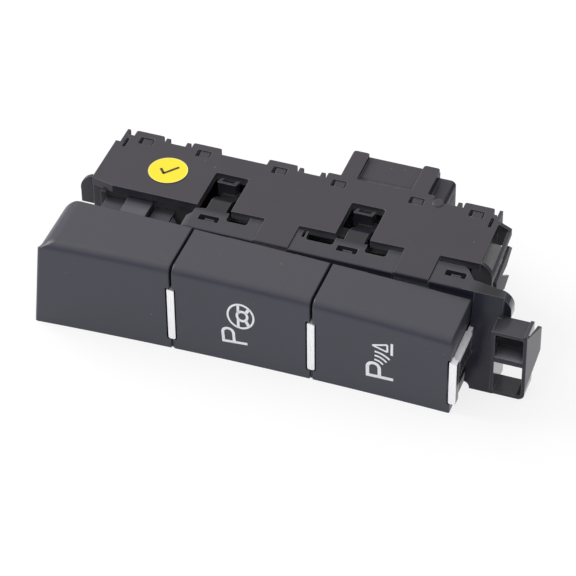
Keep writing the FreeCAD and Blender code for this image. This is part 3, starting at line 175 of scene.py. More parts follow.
# Each node of the part and its finish
FINISHES = {
    "rear_cover": "housing", "housing_base": "housing", "front_frame": "frame", "blank_cap": "cap",
    "steering_key_cap": "cap", "sensor_key_cap": "cap", "trim_strip_1": "trim",
    "trim_strip_2": "trim", "trim_strip_3": "trim", "circuit_board": "board",
    "pin_header": "header", "connector_pins": "pin", "symbol_leds": "led", "control_chip": "chip",
    "capacitors": "ceramic", "resistors": "chip", "light_guide_1": "clear",
    "light_guide_2": "clear", "dome_mat_1": "rubber", "dome_mat_2": "rubber",
    "contact_pills_1": "carbon", "contact_pills_2": "carbon", "key_slider_1": "slider",
    "key_slider_2": "slider", "round_label": "label",
}

# Values of the moulded finishes; moulded_plastic() says what they mean
# In each finish the colour for upward faces is painted top light, edge is a painted highlight, and
# inside is the grey painted deep in the hollows
MOULDINGS = {
    "cap": {"name": "cap_plastic", "base": (0.038, 0.038, 0.056), "shade": (0.034, 0.034, 0.051),
            "edge": (0.11, 0.11, 0.12), "grain": 9000.0, "roughness": 0.32, "relief": 0.08,
            "edge_radius": 0.2, "edge_amount": 2.2, "top_light": (0.05, 0.049, 0.058),
            "inside": 0.045},
    "frame": {"name": "frame_plastic", "base": (0.016, 0.017, 0.031),
              "shade": (0.013, 0.014, 0.025), "edge": (0.18, 0.18, 0.19), "grain": 5000.0,
              "roughness": 0.14, "relief": 0.08, "edge_radius": 0.22, "edge_amount": 4.0,
              "index": 1.4, "top_light": (0.048, 0.047, 0.054), "top_light_places": "frame_top_light",
              "hollow_size": 1.5, "side_coat": 0.65, "inside": 0.06},
    "housing": {"name": "housing_plastic", "base": (0.028, 0.028, 0.038),
                "shade": (0.024, 0.024, 0.033), "edge": (0.17, 0.17, 0.18), "grain": 4500.0,
                "roughness": 0.24, "relief": 0.12, "edge_radius": 0.2, "edge_amount": 4.0,
                "index": 1.42, "top_light": (0.045, 0.042, 0.049), "hollow_size": 2.0,
                "side_gloss": 0.05},
    "header": {"name": "header_plastic", "base": (0.02, 0.02, 0.022),
               "shade": (0.015, 0.015, 0.017), "edge": (0.06, 0.06, 0.06), "grain": 7000.0,
               "roughness": 0.5},
    "slider": {"name": "slider_plastic", "base": (0.7, 0.7, 0.66), "shade": (0.62, 0.62, 0.58),
               "edge": (0.8, 0.8, 0.78), "grain": 5000.0, "roughness": 0.4},
    "rubber": {"name": "dome_rubber", "base": (0.52, 0.52, 0.48), "shade": (0.46, 0.46, 0.43),
               "edge": (0.6, 0.6, 0.57), "grain": 3000.0, "roughness": 0.65},
    "carbon": {"name": "carbon_pill", "base": (0.012, 0.012, 0.012), "shade": (0.02, 0.02, 0.02),
               "edge": (0.03, 0.03, 0.03), "grain": 7000.0, "roughness": 0.7},
    "chip": {"name": "chip_resin", "base": (0.014, 0.014, 0.015), "shade": (0.02, 0.02, 0.021),
             "edge": (0.05, 0.05, 0.05), "grain": 8000.0, "roughness": 0.6},
    "ceramic": {"name": "capacitor_ceramic", "base": (0.34, 0.22, 0.12),
                "shade": (0.28, 0.18, 0.1), "edge": (0.45, 0.32, 0.2), "grain": 6000.0,
                "roughness": 0.45},
    "led": {"name": "led_body", "base": (0.85, 0.83, 0.7), "shade": (0.8, 0.77, 0.6),
            "edge": (0.9, 0.9, 0.85), "grain": 5000.0, "roughness": 0.3},
}


def place(x, y, z):
    """A point of the drawing, in millimetres, as a point of the frame, in metres."""
    return (Vector((x, y, z)) - ORIGIN) * MM


def front_y(x):
    """The bowed face of the strip at x."""
    return BOW_FRONT_Y - (BOW_RADIUS - math.sqrt(BOW_RADIUS ** 2 - (x - BOW_X) ** 2))


# Nodes

def feed(tree, node, inputs):
    """Feeds a node's sockets, each from another socket or with a plain value."""
    for name, value in inputs.items():
        socket = node.inputs[name]
        if isinstance(value, bpy.types.NodeSocket):
            tree.links.new(value, socket)
        elif socket.type == "RGBA":
            socket.default_value = (*value, 1)
        else:
            socket.default_value = value


def add_node(tree, kind, inputs=None, **settings):
    """A node with its settings made and its sockets fed."""
    node = tree.nodes.new(kind)
    for name, value in settings.items():
        setattr(node, name, value)
    feed(tree, node, inputs or {})
    return node


def add_noise(tree, vector, scale, detail=2.0, roughness=0.5):
    noise = add_node(tree, "ShaderNodeTexNoise", {"Vector": vector, "Scale": scale,
                                                  "Detail": detail, "Roughness": roughness})
    return noise.outputs["Fac"]


def add_range(tree, value, start, end, first=0.0, last=1.0):
    """First where the value is at the start or before, last from the end on."""
    span = add_node(tree, "ShaderNodeMapRange", {"Value": value, "From Min": start,
                                                 "From Max": end, "To Min": first,
                                                 "To Max": last})
    return span.outputs["Result"]


def add_math(tree, operation, *terms, clamp=False):
    """The result of a calculation on sockets and plain numbers."""
    node = add_node(tree, "ShaderNodeMath", dict(enumerate(terms)), operation=operation,
                    use_clamp=clamp)
    return node.outputs[0]


def mix_colours(tree, share, low, high):
    """Low where the share is 0, high where it is 1."""
    mix = add_node(tree, "ShaderNodeMix", {0: share, 6: low, 7: high}, data_type="RGBA")
    return mix.outputs[2]


def scale_colour(tree, colour, share):
    scaled = add_node(tree, "ShaderNodeVectorMath", {0: colour, "Scale": share},
                      operation="SCALE")
    return scaled.outputs[0]


def add_mapping(tree, vector, **values):
    """Shifts, turns or stretches a pattern: Location, Rotation or Scale."""
    return add_node(tree, "ShaderNodeMapping", {"Vector": vector, **values}).outputs[0]


def add_bump(tree, height, strength, depth, normal=None):
    """Relief up to a depth in millimetres, on the plain face or on a normal that is given."""
    inputs = {"Height": height, "Strength": strength, "Distance": depth * MM}
    if normal is not None:
        inputs["Normal"] = normal
    return add_node(tree, "ShaderNodeBump", inputs).outputs["Normal"]


def split(tree, vector):
    """The X, Y and Z of a vector."""
    return add_node(tree, "ShaderNodeSeparateXYZ", {0: vector}).outputs


def face_normal(tree):
    return add_node(tree, "ShaderNodeNewGeometry").outputs["Normal"]


def open_sky(tree, distance):
    """How open the surface lies, from 0 between walls to 1, looking this far around."""
    sky = add_node(tree, "ShaderNodeAmbientOcclusion", {"Distance": distance}, samples=8)
    return sky.outputs["AO"]


def mix_shaders(tree, share, low, high):
    mix = add_node(tree, "ShaderNodeMixShader", {0: share, 1: low.outputs[0], 2: high.outputs[0]})
    return mix.outputs[0]


# Camera, light and floor

def add_camera():
    azimuth = math.radians(CAMERA_AZIMUTH)
    elevation = math.radians(CAMERA_ELEVATION)
    roll = math.radians(CAMERA_ROLL)
    back = Vector((math.sin(azimuth) * math.cos(elevation),
                   -math.cos(azimuth) * math.cos(elevation), math.sin(elevation)))
    level = Vector((math.cos(azimuth), math.sin(azimuth), 0.0))
    upright = back.cross(level)
    right = level * math.cos(roll) + upright * math.sin(roll)
    up = upright * math.cos(roll) - level * math.sin(roll)
    data = bpy.data.cameras.new("photo_camera")
    data.lens = CAMERA_LENS
    data.sensor_width = 36.0
    data.clip_start = 0.01
    camera = bpy.data.objects.new("photo_camera", data)
    bpy.context.scene.collection.objects.link(camera)
    turn = Matrix((right, up, back)).transposed().to_4x4()
    camera.matrix_world = Matrix.Translation(place(*CAMERA_PLACE)) @ turn
    bpy.context.scene.camera = camera


def add_softbox(name, position, target, size, power, colour):
    data = bpy.data.lights.new(name, "AREA")
    data.shape = "RECTANGLE"
    data.size, data.size_y = size
    data.energy = power
    data.color = colour
    lamp = bpy.data.objects.new(name, data)
    bpy.context.scene.collection.objects.link(lamp)
    lamp.location = position
    aim = Vector(target) - Vector(position)
    lamp.rotation_euler = aim.to_track_quat("-Z", "Y").to_euler()


def add_world():
    """White for the camera; for the rest a dim horizon that brightens upwards."""
    world = bpy.data.worlds.new("studio")
    bpy.context.scene.world = world
    world.use_nodes = True
    tree = world.node_tree
    tree.nodes.clear()
    direction = add_node(tree, "ShaderNodeTexCoord").outputs["Generated"]
    rise = add_range(tree, split(tree, direction)["Z"], start=0.15, end=0.6)
    glow = mix_colours(tree, rise, HORIZON_COLOUR, SKY_COLOUR)
    lit = add_node(tree, "ShaderNodeBackground", {"Color": glow, "Strength": 1.0})
    seen = add_node(tree, "ShaderNodeBackground", {"Color": WHITE, "Strength": 1.0})
    path = add_node(tree, "ShaderNodeLightPath").outputs
    clear = add_math(tree, "MAXIMUM", path["Is Camera Ray"], path["Is Transmission Ray"])
    add_node(tree, "ShaderNodeOutputWorld", {"Surface": mix_shaders(tree, clear, lit, seen)})


def add_floor():
    shape = bmesh.new()
    bmesh.ops.create_grid(shape, x_segments=1, y_segments=1, size=FLOOR_REACH)
    mesh = bpy.data.meshes.new("floor")
    shape.to_mesh(mesh)
    shape.free()
    floor = bpy.data.objects.new("floor", mesh)
    bpy.context.scene.collection.objects.link(floor)
    floor.location.z = -FLOOR_DROP
    material = bpy.data.materials.new("pale_floor")
    material.use_nodes = True
    tree = material.node_tree
    tree.nodes.clear()
    matt = add_node(tree, "ShaderNodeBsdfDiffuse", {"Color": FLOOR_COLOUR})
    white = add_node(tree, "ShaderNodeEmission", {"Strength": 1.0})
    path = add_node(tree, "ShaderNodeLightPath").outputs
    seen = add_math(tree, "MAXIMUM", path["Is Camera Ray"], path["Is Glossy Ray"])
    share = add_math(tree, "MULTIPLY", seen, FLOOR_WHITE)
    add_node(tree, "ShaderNodeOutputMaterial", {"Surface": mix_shaders(tree, share, matt, white)})
    mesh.materials.append(material)


# Shared surface effects

def new_group(name, inputs, outputs):
    """An empty node group. An input is (name, kind, default), without a default where every
    material gives the value; an output is (name, kind)."""
    group = bpy.data.node_groups.new(name, "ShaderNodeTree")
    for label, kind, value in inputs:
        socket = group.interface.new_socket(name=label, in_out="INPUT", socket_type=kind)
        if value is not None:
            socket.default_value = value
    for label, kind in outputs:
        group.interface.new_socket(name=label, in_out="OUTPUT", socket_type=kind)
    source = group.nodes.new("NodeGroupInput").outputs
    return group, source, group.nodes.new("NodeGroupOutput")


def use_group(tree, name, inputs):
    """Places a shared effect with the material's own values."""
    group = bpy.data.node_groups[name]
    return add_node(tree, "ShaderNodeGroup", inputs, node_tree=group).outputs


def make_moulded_grain():
    """Spark-eroded tool grain with a slow change of tone across the moulding."""
    group, source, result = new_group(
        "moulded_grain",
        [("Vector", VECTOR, None), ("Base", COLOUR, None), ("Shade", COLOUR, None),
         ("Grain", NUMBER, None), ("Roughness", NUMBER, None)],
        [("Color", COLOUR), ("Roughness", NUMBER), ("Height", NUMBER)])
    fine = add_noise(group, source["Vector"], source["Grain"], detail=3.0, roughness=0.6)
    slow = add_noise(group, source["Vector"], scale=140.0, detail=4.0)
    spread = add_range(group, slow, start=0.3, end=0.7)
    tone = mix_colours(group, spread, source["Shade"], source["Base"])
    speck = add_range(group, fine, start=0.25, end=0.75, first=0.88, last=1.12)
    gloss_change = 0.12
    feed(group, result, {
        "Color": scale_colour(group, tone, speck),
        "Roughness": add_math(group, "MULTIPLY_ADD", slow, gloss_change, source["Roughness"]),
        "Height": fine})


def make_soft_edge():
    """Rounds the moulding's edges in the shading and paints a highlight along them."""
    group, source, result = new_group(
        "soft_edge",
        [("Color", COLOUR, None), ("Edge", COLOUR, None), ("Radius", NUMBER, None),
         ("Amount", NUMBER, 1.5)],
        [("Color", COLOUR), ("Normal", VECTOR)])
    rounded = add_node(group, "ShaderNodeBevel", {"Radius": source["Radius"]},
                       samples=6).outputs["Normal"]
    agreement = add_node(group, "ShaderNodeVectorMath", {0: rounded, 1: face_normal(group)},
                         operation="DOT_PRODUCT").outputs["Value"]
    turned = add_math(group, "SUBTRACT", 1.0, agreement)
    painted_highlight = add_math(group, "MULTIPLY", turned, source["Amount"], clamp=True)
    feed(group, result, {"Color": mix_colours(group, painted_highlight, source["Color"], source["Edge"]),
                         "Normal": rounded})


def make_specks():
    """A few pale fibres and grains of dirt, thinly strewn."""
    group, source, result = new_group(
        "specks", [("Vector", VECTOR, None), ("Color", COLOUR, None), ("Density", NUMBER, 900.0)],
        [("Color", COLOUR)])
    grains = add_node(group, "ShaderNodeTexVoronoi", {"Vector": source["Vector"],
                                                      "Scale": source["Density"]}).outputs
    chance = split(group, grains["Color"])["X"]
    size = add_range(group, chance, start=0.93, end=1.0, last=0.16)
    inside = add_math(group, "LESS_THAN", grains["Distance"], size)
    cover = 0.55
    share = add_math(group, "MULTIPLY", inside, cover)
    dirt = (0.16, 0.16, 0.17)
    feed(group, result, {"Color": mix_colours(group, share, source["Color"], dirt)})


def make_painted_top_light():
    """Paints light on the faces that look up, in soft patches."""
    group, source, result = new_group(
        "painted_top_light",
        [("Vector", VECTOR, None), ("Color", COLOUR, None), ("Top Light", COLOUR, None),
         ("Thickness", NUMBER, 1.0)],
        [("Color", COLOUR)])
    upward = add_range(group, split(group, face_normal(group))["Z"], start=0.5, end=0.95)
    patches = add_noise(group, source["Vector"], scale=220.0, detail=5.0)
    patchy = add_range(group, patches, start=0.3, end=0.7, first=0.85)
    share = add_math(group, "MULTIPLY", upward, patchy)
    layer = scale_colour(group, source["Top Light"], source["Thickness"])
    feed(group, result, {"Color": mix_colours(group, share, source["Color"], layer)})


def make_frame_top_light():
    """How strong the painted light lies on the frame's upward faces: most in the clip's pocket and
    on the fingers, least on the arms and the bend."""
    group, source, result = new_group("frame_top_light", [("Vector", VECTOR, None)],
                                      [("Thickness", NUMBER)])
    parts = split(group, source["Vector"])
    fingers = add_range(group, parts["X"], place(FINGERS_END_X - TOP_LIGHT_FADE, 0, 0).x,
                        place(FINGERS_END_X, 0, 0).x, first=FINGER_TOP_LIGHT)
    arms = add_range(group, parts["Y"], place(0, ARMS_START_Y, 0).y,
                     place(0, ARMS_START_Y + TOP_LIGHT_FADE, 0).y, first=1.0, last=ARM_TOP_LIGHT)
    away = add_math(group, "SUBTRACT", parts["X"], place(FRAME_BEND_X, 0, 0).x)
    bend = add_range(group, add_math(group, "ABSOLUTE", away), BEND_REACH[0] * MM,
                     BEND_REACH[1] * MM, first=BEND_TOP_LIGHT)
    tops = add_math(group, "MULTIPLY", add_math(group, "MULTIPLY", fingers, arms), bend)
    in_clip = add_math(group, "GREATER_THAN", parts["X"], place(CLIP_START_X, 0, 0).x)
    on_floor = add_math(group, "COMPARE", parts["Z"], place(0, 0, POCKET_FLOOR_Z).z,
                        POCKET_FLOOR_BAND * MM)
    pocket = add_math(group, "MULTIPLY", in_clip, on_floor)
    feed(group, result, {"Thickness": add_math(group, "MULTIPLY_ADD", pocket, POCKET_TOP_LIGHT, tops)})


def make_painted_hollow_shading():
    """Paints the colour towards a fixed grey deep inside the part: painted light in the hollows of
    dark mouldings, painted shade in those of pale ones.
    """
    group, source, result = new_group(
        "painted_hollow_shading", [("Color", COLOUR, None), ("Inside", COLOUR, None), ("Depth", NUMBER, 0.01)],
        [("Color", COLOUR)])
    deep = add_range(group, open_sky(group, source["Depth"]), start=0.5, end=0.1)
    feed(group, result, {"Color": mix_colours(group, deep, source["Color"], source["Inside"])})


# Materials

def new_material(name):
    """A material with its nodes, its Principled shader and its Object coordinates."""
    material = bpy.data.materials.new(name)
    material.use_nodes = True
    tree = material.node_tree
    coordinates = add_node(tree, "ShaderNodeTexCoord").outputs["Object"]
    return material, tree, tree.nodes["Principled BSDF"], coordinates


def moulded_plastic(name, base, shade, edge, grain, roughness, relief=0.15, edge_radius=0.15,
                    edge_amount=1.5, index=1.5, top_light=None, top_light_places=None, hollow_size=3.0,
                    side_gloss=PLAIN_GLOSS, side_coat=0.0, inside=0.17):
    """A grained moulding. Its tone runs from shade to base, its edges go towards edge, a painted
    highlight.

    The colour given for the faces that look up is painted light on them, and the group given for
    its places says how strong it is in each.
    Walls closer than hollow_size take a little of the gloss. side_gloss and side_coat hold for the
    faces that look right.
    Deep in the part the colour is painted towards the grey inside: painted light on the dark
    mouldings, painted shade on the pale ones.
    Sizes are in millimetres. The gloss is worked out here and not in a group, because a group
    feeds only the sockets that an export can read.
    """
    material, tree, shader, coordinates = new_material(name)
    surface = use_group(tree, "moulded_grain", {"Vector": coordinates, "Base": base,
                                                "Shade": shade, "Grain": grain,
                                                "Roughness": roughness})
    colour = surface["Color"]
    # Painted light on the faces that look up, in soft patches, with real specks of dirt over it
    if top_light:
        top_lit = {"Vector": coordinates, "Color": colour, "Top Light": top_light}
        if top_light_places:
            thickness = use_group(tree, top_light_places, {"Vector": coordinates})
            top_lit["Thickness"] = thickness["Thickness"]
        lit_on_top = use_group(tree, "painted_top_light", top_lit)
        colour = use_group(tree, "specks", {"Vector": coordinates,
                                            "Color": lit_on_top["Color"]})["Color"]
    # Rounded edges with a painted highlight along them
    rim = use_group(tree, "soft_edge", {"Color": colour, "Edge": edge, "Amount": edge_amount,
                                        "Radius": edge_radius * MM})
    # Painted light deep in the hollows of dark mouldings, painted shade in those of pale ones
    hollow_grey = (inside, inside, inside * HOLLOW_GREY_BLUE)
    hollow = use_group(tree, "painted_hollow_shading", {"Color": rim["Color"], "Inside": hollow_grey})
    rightward = split(tree, face_normal(tree))["X"]
    share = add_range(tree, open_sky(tree, hollow_size * MM), start=0.2, end=0.8,
                      first=HOLLOW_GLOSS)
    level = add_range(tree, rightward, start=0.3, end=0.8, first=PLAIN_GLOSS, last=side_gloss)
    feed(tree, shader, {
        "Base Color": hollow["Color"],
        "Roughness": surface["Roughness"],
        "Specular IOR Level": add_math(tree, "MULTIPLY", share, level),
        "IOR": index,
        "Normal": add_bump(tree, surface["Height"], relief, depth=0.04, normal=rim["Normal"])})
    if side_coat:
        polished = add_range(tree, rightward, start=0.6, end=0.9, last=side_coat)
        feed(tree, shader, {"Coat Weight": polished, "Coat Roughness": 0.08, "Coat IOR": 1.8})
    return material


def satin_chrome():
    """Plate with fine hairlines, more metallic on the bars, whose sides are dark."""
    material, tree, shader, coordinates = new_material("satin_chrome")
    stretched = add_mapping(tree, coordinates, Scale=(9000.0, 900.0, 250.0))
    hairlines = add_noise(tree, stretched, scale=1.0, detail=3.0)
    plate = mix_colours(tree, hairlines, (0.91, 0.91, 0.93), (0.98, 0.98, 0.98))
    # A painted highlight along the plate's edges
    rim = use_group(tree, "soft_edge", {"Color": plate, "Edge": (0.95, 0.95, 0.95),
                                        "Radius": 0.18 * MM})
    sideways = add_math(tree, "ABSOLUTE", split(tree, face_normal(tree))["X"])
    on_side = add_range(tree, sideways, start=0.7, end=0.9)
    on_bar = add_range(tree, split(tree, coordinates)["Y"], place(0, BAR_BACK_Y, 0).y,
                       place(0, BAR_BACK_Y + BAR_FADE, 0).y, first=1.0, last=0.0)
    dark_side = add_math(tree, "MULTIPLY", on_side, on_bar)
    feed(tree, shader, {
        "Base Color": mix_colours(tree, dark_side, rim["Color"], (0.1, 0.1, 0.11)),
        "Roughness": add_range(tree, hairlines, start=0.0, end=1.0, first=0.22, last=0.36),
        "Metallic": add_range(tree, on_bar, start=0.0, end=1.0, first=0.15, last=0.5),
        "Normal": rim["Normal"]})
    return material


def printed_ink(name, colour, worn):
    """Pad-printed ink, a little thinner in places."""
    material, tree, shader, coordinates = new_material(name)
    patches = add_noise(tree, coordinates, scale=2500.0)
    spread = add_range(tree, patches, start=0.3, end=0.5)
    feed(tree, shader, {"Base Color": mix_colours(tree, spread, worn, colour),
                        "Roughness": 0.45,
                        "Normal": add_bump(tree, patches, strength=0.2, depth=0.02)})
    return material


def label_film():
    """Yellow film with a paler rim, a dark ring of painted shade along its edge and a soft gloss.
    """
    material, tree, shader, coordinates = new_material("label_film")
    centre = place(*LABEL_CENTRE, COVER_TOP)
    centred = add_mapping(tree, coordinates, Location=(-centre.x, -centre.y, 0.0),
                          Scale=(1.0, 1.0, 0.0))
    radius = add_node(tree, "ShaderNodeVectorMath", {0: centred},
                      operation="LENGTH").outputs["Value"]
    patches = add_noise(tree, coordinates, scale=700.0)
    colour = mix_colours(tree, patches, (0.8, 0.66, 0.012), (0.86, 0.72, 0.02))
    # A paler rim, then a dark ring of painted shade along the very edge
    for (start, full), tone in ((LABEL_RIM, (0.85, 0.78, 0.2)),
                                (LABEL_EDGE_SHADE, (0.12, 0.1, 0.02))):
        band = add_range(tree, radius, (LABEL_RADIUS - start) * MM, (LABEL_RADIUS - full) * MM)
        colour = mix_colours(tree, band, colour, tone)
    feed(tree, shader, {"Base Color": colour, "Roughness": 0.4,
                        "Normal": add_bump(tree, patches, strength=0.1, depth=0.05)})
    return material


def solder_mask():
    """Black board with faint tracks under the mask."""
    material, tree, shader, coordinates = new_material("solder_mask")
    turned = add_mapping(tree, coordinates, Rotation=(math.radians(90), 0, 0))
    tracks = add_node(tree, "ShaderNodeTexBrick", {
        "Vector": turned, "Scale": 300.0, "Color1": (0.08, 0.09, 0.09),
        "Color2": (0.09, 0.1, 0.1), "Mortar": (0.11, 0.125, 0.125), "Mortar Size": 0.04}).outputs
    feed(tree, shader, {"Base Color": tracks["Color"], "Roughness": 0.35,
                        "Normal": add_bump(tree, tracks["Fac"], strength=0.3, depth=0.03)})
    return material


def clear_plastic():
    material, tree, shader, coordinates = new_material("clear_plastic")
    haze = add_noise(tree, coordinates, scale=900.0)
    feed(tree, shader, {
        "Base Color": (0.92, 0.95, 0.97), "Transmission Weight": 0.85, "IOR": 1.49,
        "Roughness": add_range(tree, haze, start=0.0, end=1.0, first=0.08, last=0.22)})
    return material


def tinned_pin():
    material, tree, shader, coordinates = new_material("tinned_pin")
    cloud = add_noise(tree, coordinates, scale=1500.0, detail=4.0)
    feed(tree, shader, {
        "Base Color": mix_colours(tree, cloud, (0.62, 0.6, 0.55), (0.78, 0.76, 0.7)),
        "Roughness": add_range(tree, cloud, start=0.0, end=1.0, first=0.2, last=0.4),
        "Metallic": 1.0})
    return material


def make_materials():
    make_moulded_grain()
    make_soft_edge()
    make_specks()
    make_painted_top_light()
    make_frame_top_light()
    make_painted_hollow_shading()
    materials = {finish: moulded_plastic(**values) for finish, values in MOULDINGS.items()}
    materials["trim"] = satin_chrome()
    materials["ink"] = printed_ink("symbol_ink", (0.86, 0.86, 0.87), (0.76, 0.76, 0.78))
    materials["dark_ink"] = printed_ink("label_ink", (0.03, 0.03, 0.02), (0.07, 0.06, 0.03))
    materials["label"] = label_film()
    materials["board"] = solder_mask()
    materials["clear"] = clear_plastic()
    materials["pin"] = tinned_pin()
    return materials


# Pieces

def finish_piece(shape, name, material, body):
    """Makes a bmesh into a piece of the scene that rides on a body."""
    mesh = bpy.data.meshes.new(name)
    shape.to_mesh(mesh)
    shape.free()
    piece = bpy.data.objects.new(name, mesh)
    bpy.context.scene.collection.objects.link(piece)
    mesh.materials.append(material)
    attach(piece, body)
    return piece


def thicken(shape, thickness):
    """Raises a flat shape's faces and puts walls under them."""
    made = bmesh.ops.extrude_face_region(shape, geom=shape.faces[:])
    raised = [item for item in made["geom"] if isinstance(item, bmesh.types.BMVert)]
    bmesh.ops.translate(shape, verts=raised, vec=(0, 0, thickness))


def add_bar(shape, start, end, width):
    """A flat bar between two points of the face."""
    start, end = Vector(start), Vector(end)
    along = end - start
    made = bmesh.ops.create_grid(shape, x_segments=6, y_segments=1, size=0.5)
    angle = math.atan2(along.y, along.x)
    turn = Matrix.Rotation(angle, 4, "Z") @ Matrix.Diagonal((along.length, width, 1, 1))
    middle = (start + end) / 2
    bmesh.ops.transform(shape, matrix=Matrix.Translation((middle.x, middle.y, 0)) @ turn,
                        verts=made["verts"])


def add_arc(shape, centre, radius, width, start, end, stretch=1.0, steps=28):
    """A flat arc swept about a centre; angles in degrees from +X, stretch lengthens it upwards."""
    before = set(shape.verts)
    inner = shape.verts.new((radius - width / 2, 0, 0))
    outer = shape.verts.new((radius + width / 2, 0, 0))
    edge = shape.edges.new((inner, outer))
    whole = abs(end - start) >= 359.9
    bmesh.ops.spin(shape, geom=[inner, outer, edge], cent=(0, 0, 0), axis=(0, 0, 1),
                   angle=math.radians(end - start), steps=steps, use_merge=whole)
    turn = Matrix.Diagonal((1, stretch, 1, 1)) @ Matrix.Rotation(math.radians(start), 4, "Z")
    bmesh.ops.transform(shape, matrix=Matrix.Translation((centre[0], centre[1], 0)) @ turn,
                        verts=[vert for vert in shape.verts if vert not in before])


def add_letter_p(shape, head, length, bowl, stroke, tilt):
    """The parking letter lying on its side: its top points to the blank, its bowl upwards."""
    glyph = bmesh.new()
    bowl_width, bowl_height = bowl
    half = stroke / 2
    add_bar(glyph, (0, 0), (length, 0), stroke)
    radius = (bowl_width - stroke) / 2
    rise = bowl_height - bowl_width / 2
    add_bar(glyph, (half, half), (half, rise), stroke)
    add_bar(glyph, (half + 2 * radius, half), (half + 2 * radius, rise), stroke)
    add_arc(glyph, (half + radius, rise), radius, stroke, 0, 180, steps=20)
    move = Matrix.Translation((head[0], head[1], 0)) @ Matrix.Rotation(math.radians(tilt), 4, "Z")
    bmesh.ops.transform(glyph, matrix=move, verts=glyph.verts)
    scratch = bpy.data.meshes.new("glyph")
    glyph.to_mesh(scratch)
    glyph.free()
    shape.from_mesh(scratch)
    bpy.data.meshes.remove(scratch)


def lay_on_face(shape):
    """Stands flat print up on the strip's bowed face and gives it its thickness."""
    bmesh.ops.remove_doubles(shape, verts=shape.verts, dist=0.001)
    thicken(shape, PRINT_THICKNESS + PRINT_SINK)
    for vert in shape.verts:
        x, z, lift = vert.co
        vert.co = place(x, front_y(x) + PRINT_SINK - lift, z)
    bmesh.ops.recalc_face_normals(shape, faces=shape.faces)


def lay_on_cover(shape, thickness, height):
    """Gives a flat shape its thickness and lays it this high over the cover, at the label."""
    thicken(shape, thickness)
    for vert in shape.verts:
        vert.co = place(LABEL_CENTRE[0] + vert.co.x, LABEL_CENTRE[1] + vert.co.y,
                        COVER_TOP + height + vert.co.z)
    bmesh.ops.recalc_face_normals(shape, faces=shape.faces)


def add_steering_symbol(materials):
    shape = bmesh.new()
    add_letter_p(shape, STEERING_P_HEAD, STEERING_P_LENGTH, STEERING_P_BOWL, STEERING_P_STROKE,
                 STEERING_P_TILT)
    radius = WHEEL_RADII[0] - WHEEL_RIM / 2
    stretch = WHEEL_RADII[1] / WHEEL_RADII[0]
    add_arc(shape, WHEEL_CENTRE, radius, WHEEL_RIM, 0, 360, stretch, steps=48)
    reach = math.sqrt(radius ** 2 - (WHEEL_CHORD_X - WHEEL_CENTRE[0]) ** 2) * stretch
    for side in (-1, 1):
        add_bar(shape, (WHEEL_CHORD_X, WHEEL_CENTRE[1] + side * WHEEL_CHORD_START),
                (WHEEL_CHORD_X, WHEEL_CENTRE[1] + side * reach), WHEEL_CHORD)
    hub_inner, hub_outer = WHEEL_HUB_RADII
    add_arc(shape, WHEEL_HUB, (hub_inner + hub_outer) / 2, hub_outer - hub_inner, 0, 360,
            WHEEL_HUB_STRETCH, steps=32)
    for side in (-1, 1):
        start = (WHEEL_HUB[0] + SPOKE_FROM_HUB[0], WHEEL_HUB[1] + side * SPOKE_FROM_HUB[1])
        end = (WHEEL_CENTRE[0] + SPOKE_FROM_CENTRE[0],
               WHEEL_CENTRE[1] + side * SPOKE_FROM_CENTRE[1])
        add_bar(shape, start, end, SPOKE_WIDTH)
    lay_on_face(shape)
    finish_piece(shape, "steering_symbol", materials["ink"], "steering_key")


def add_sensor_symbol(materials):
    shape = bmesh.new()
    add_letter_p(shape, SENSOR_P_HEAD, SENSOR_P_LENGTH, SENSOR_P_BOWL, SENSOR_P_STROKE,
                 SENSOR_P_TILT)
    for radius, (first, last) in zip(WAVE_RADII, WAVE_ANGLES):
        add_arc(shape, WAVE_CENTRE, radius, WAVE_STROKE, 90 - last, 90 - first, steps=16)
    for index, point in enumerate(CONE_POINTS):
        add_bar(shape, point, CONE_POINTS[(index + 1) % 3], CONE_STROKE)
    x, z = KERB_CENTRE
    add_bar(shape, (x, z - KERB_SIZE[1] / 2), (x, z + KERB_SIZE[1] / 2), KERB_SIZE[0])
    lay_on_face(shape)
    finish_piece(shape, "sensor_symbol", materials["ink"], "sensor_key")


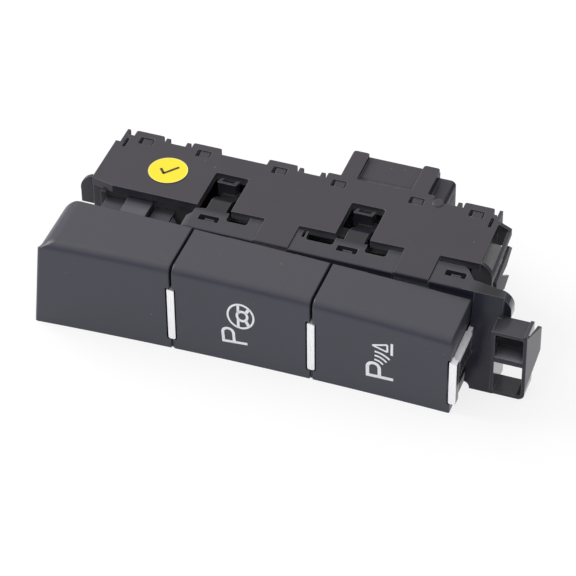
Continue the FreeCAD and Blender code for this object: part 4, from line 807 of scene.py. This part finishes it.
def add_gap_shade_fills(materials):
    """Dark pieces that close the gaps between the caps under the bars and stand in for the shade
    in the gaps.
    """
    for index, x in enumerate(GAP_X):
        shape = bmesh.new()
        made = bmesh.ops.create_cube(shape, size=1.0)
        size = Vector((GAP_FILL_WIDTH, GAP_FILL_Y[1] - GAP_FILL_Y[0], GAP_FILL_Z[1] - GAP_FILL_Z[0])) * MM
        middle = place(x, front_y(x) + (GAP_FILL_Y[0] + GAP_FILL_Y[1]) / 2, (GAP_FILL_Z[0] + GAP_FILL_Z[1]) / 2)
        bmesh.ops.transform(shape, matrix=Matrix.Translation(middle) @ Matrix.Diagonal((*size, 1)),
                            verts=made["verts"])
        finish_piece(shape, "gap_shade_fill_%d" % (index + 1), materials["frame"], "housing")


def add_finger_slope(materials):
    """The side of the third finger, which slopes down to the gap beside the frame's top."""
    shape = bmesh.new()
    made = bmesh.ops.create_cube(shape, size=1.0)
    for vert in made["verts"]:
        right, back, upper = (axis > 0 for axis in vert.co)
        cut = SLOPE_CUT if right and back else 0.0
        drop = 0.0 if upper else SLOPE_THICKNESS
        vert.co = place(SLOPE_X[right], SLOPE_Y[back] - cut, SLOPE_Z[right] - drop)
    bmesh.ops.bevel(shape, geom=shape.edges[:], offset=SLOPE_BEVEL * MM, segments=2,
                    profile=0.5, affect="EDGES", material=-1)
    finish_piece(shape, "finger_slope", materials["frame"], "housing")


def add_label(materials):
    """The round sticker with a plain tick on it."""
    shape = bmesh.new()
    bmesh.ops.create_circle(shape, cap_ends=True, segments=96, radius=LABEL_RADIUS)
    lay_on_cover(shape, LABEL_THICKNESS, 0.0)
    label = finish_piece(shape, "inspection_label", materials["label"], "housing")
    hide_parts("round_label")
    tick = bmesh.new()
    for start, end in TICK_STROKES:
        add_bar(tick, start, end, TICK_WIDTH)
    lay_on_cover(tick, TICK_THICKNESS, LABEL_THICKNESS - TICK_SINK)
    finish_piece(tick, "inspection_tick", materials["dark_ink"], "housing")


def dress_nodes(materials):
    for node, finish in FINISHES.items():
        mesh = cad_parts[node].data
        mesh.materials.clear()
        mesh.materials.append(materials[finish])


def flatten_domes():
    """Gives each dome mat a mesh of its own."""
    for node, joint in (("dome_mat_1", "steering_key_press"), ("dome_mat_2", "sensor_key_press")):
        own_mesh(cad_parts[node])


def main():
    scene = bpy.context.scene
    scene.view_settings.view_transform = "Standard"
    add_camera()
    add_world()
    add_softbox("left_softbox", **LEFT_LIGHT)
    add_softbox("front_softbox", **FRONT_LIGHT)
    add_floor()
    materials = make_materials()
    dress_nodes(materials)
    add_steering_symbol(materials)
    add_sensor_symbol(materials)
    add_gap_shade_fills(materials)
    add_finger_slope(materials)
    add_label(materials)
    flatten_domes()


main()
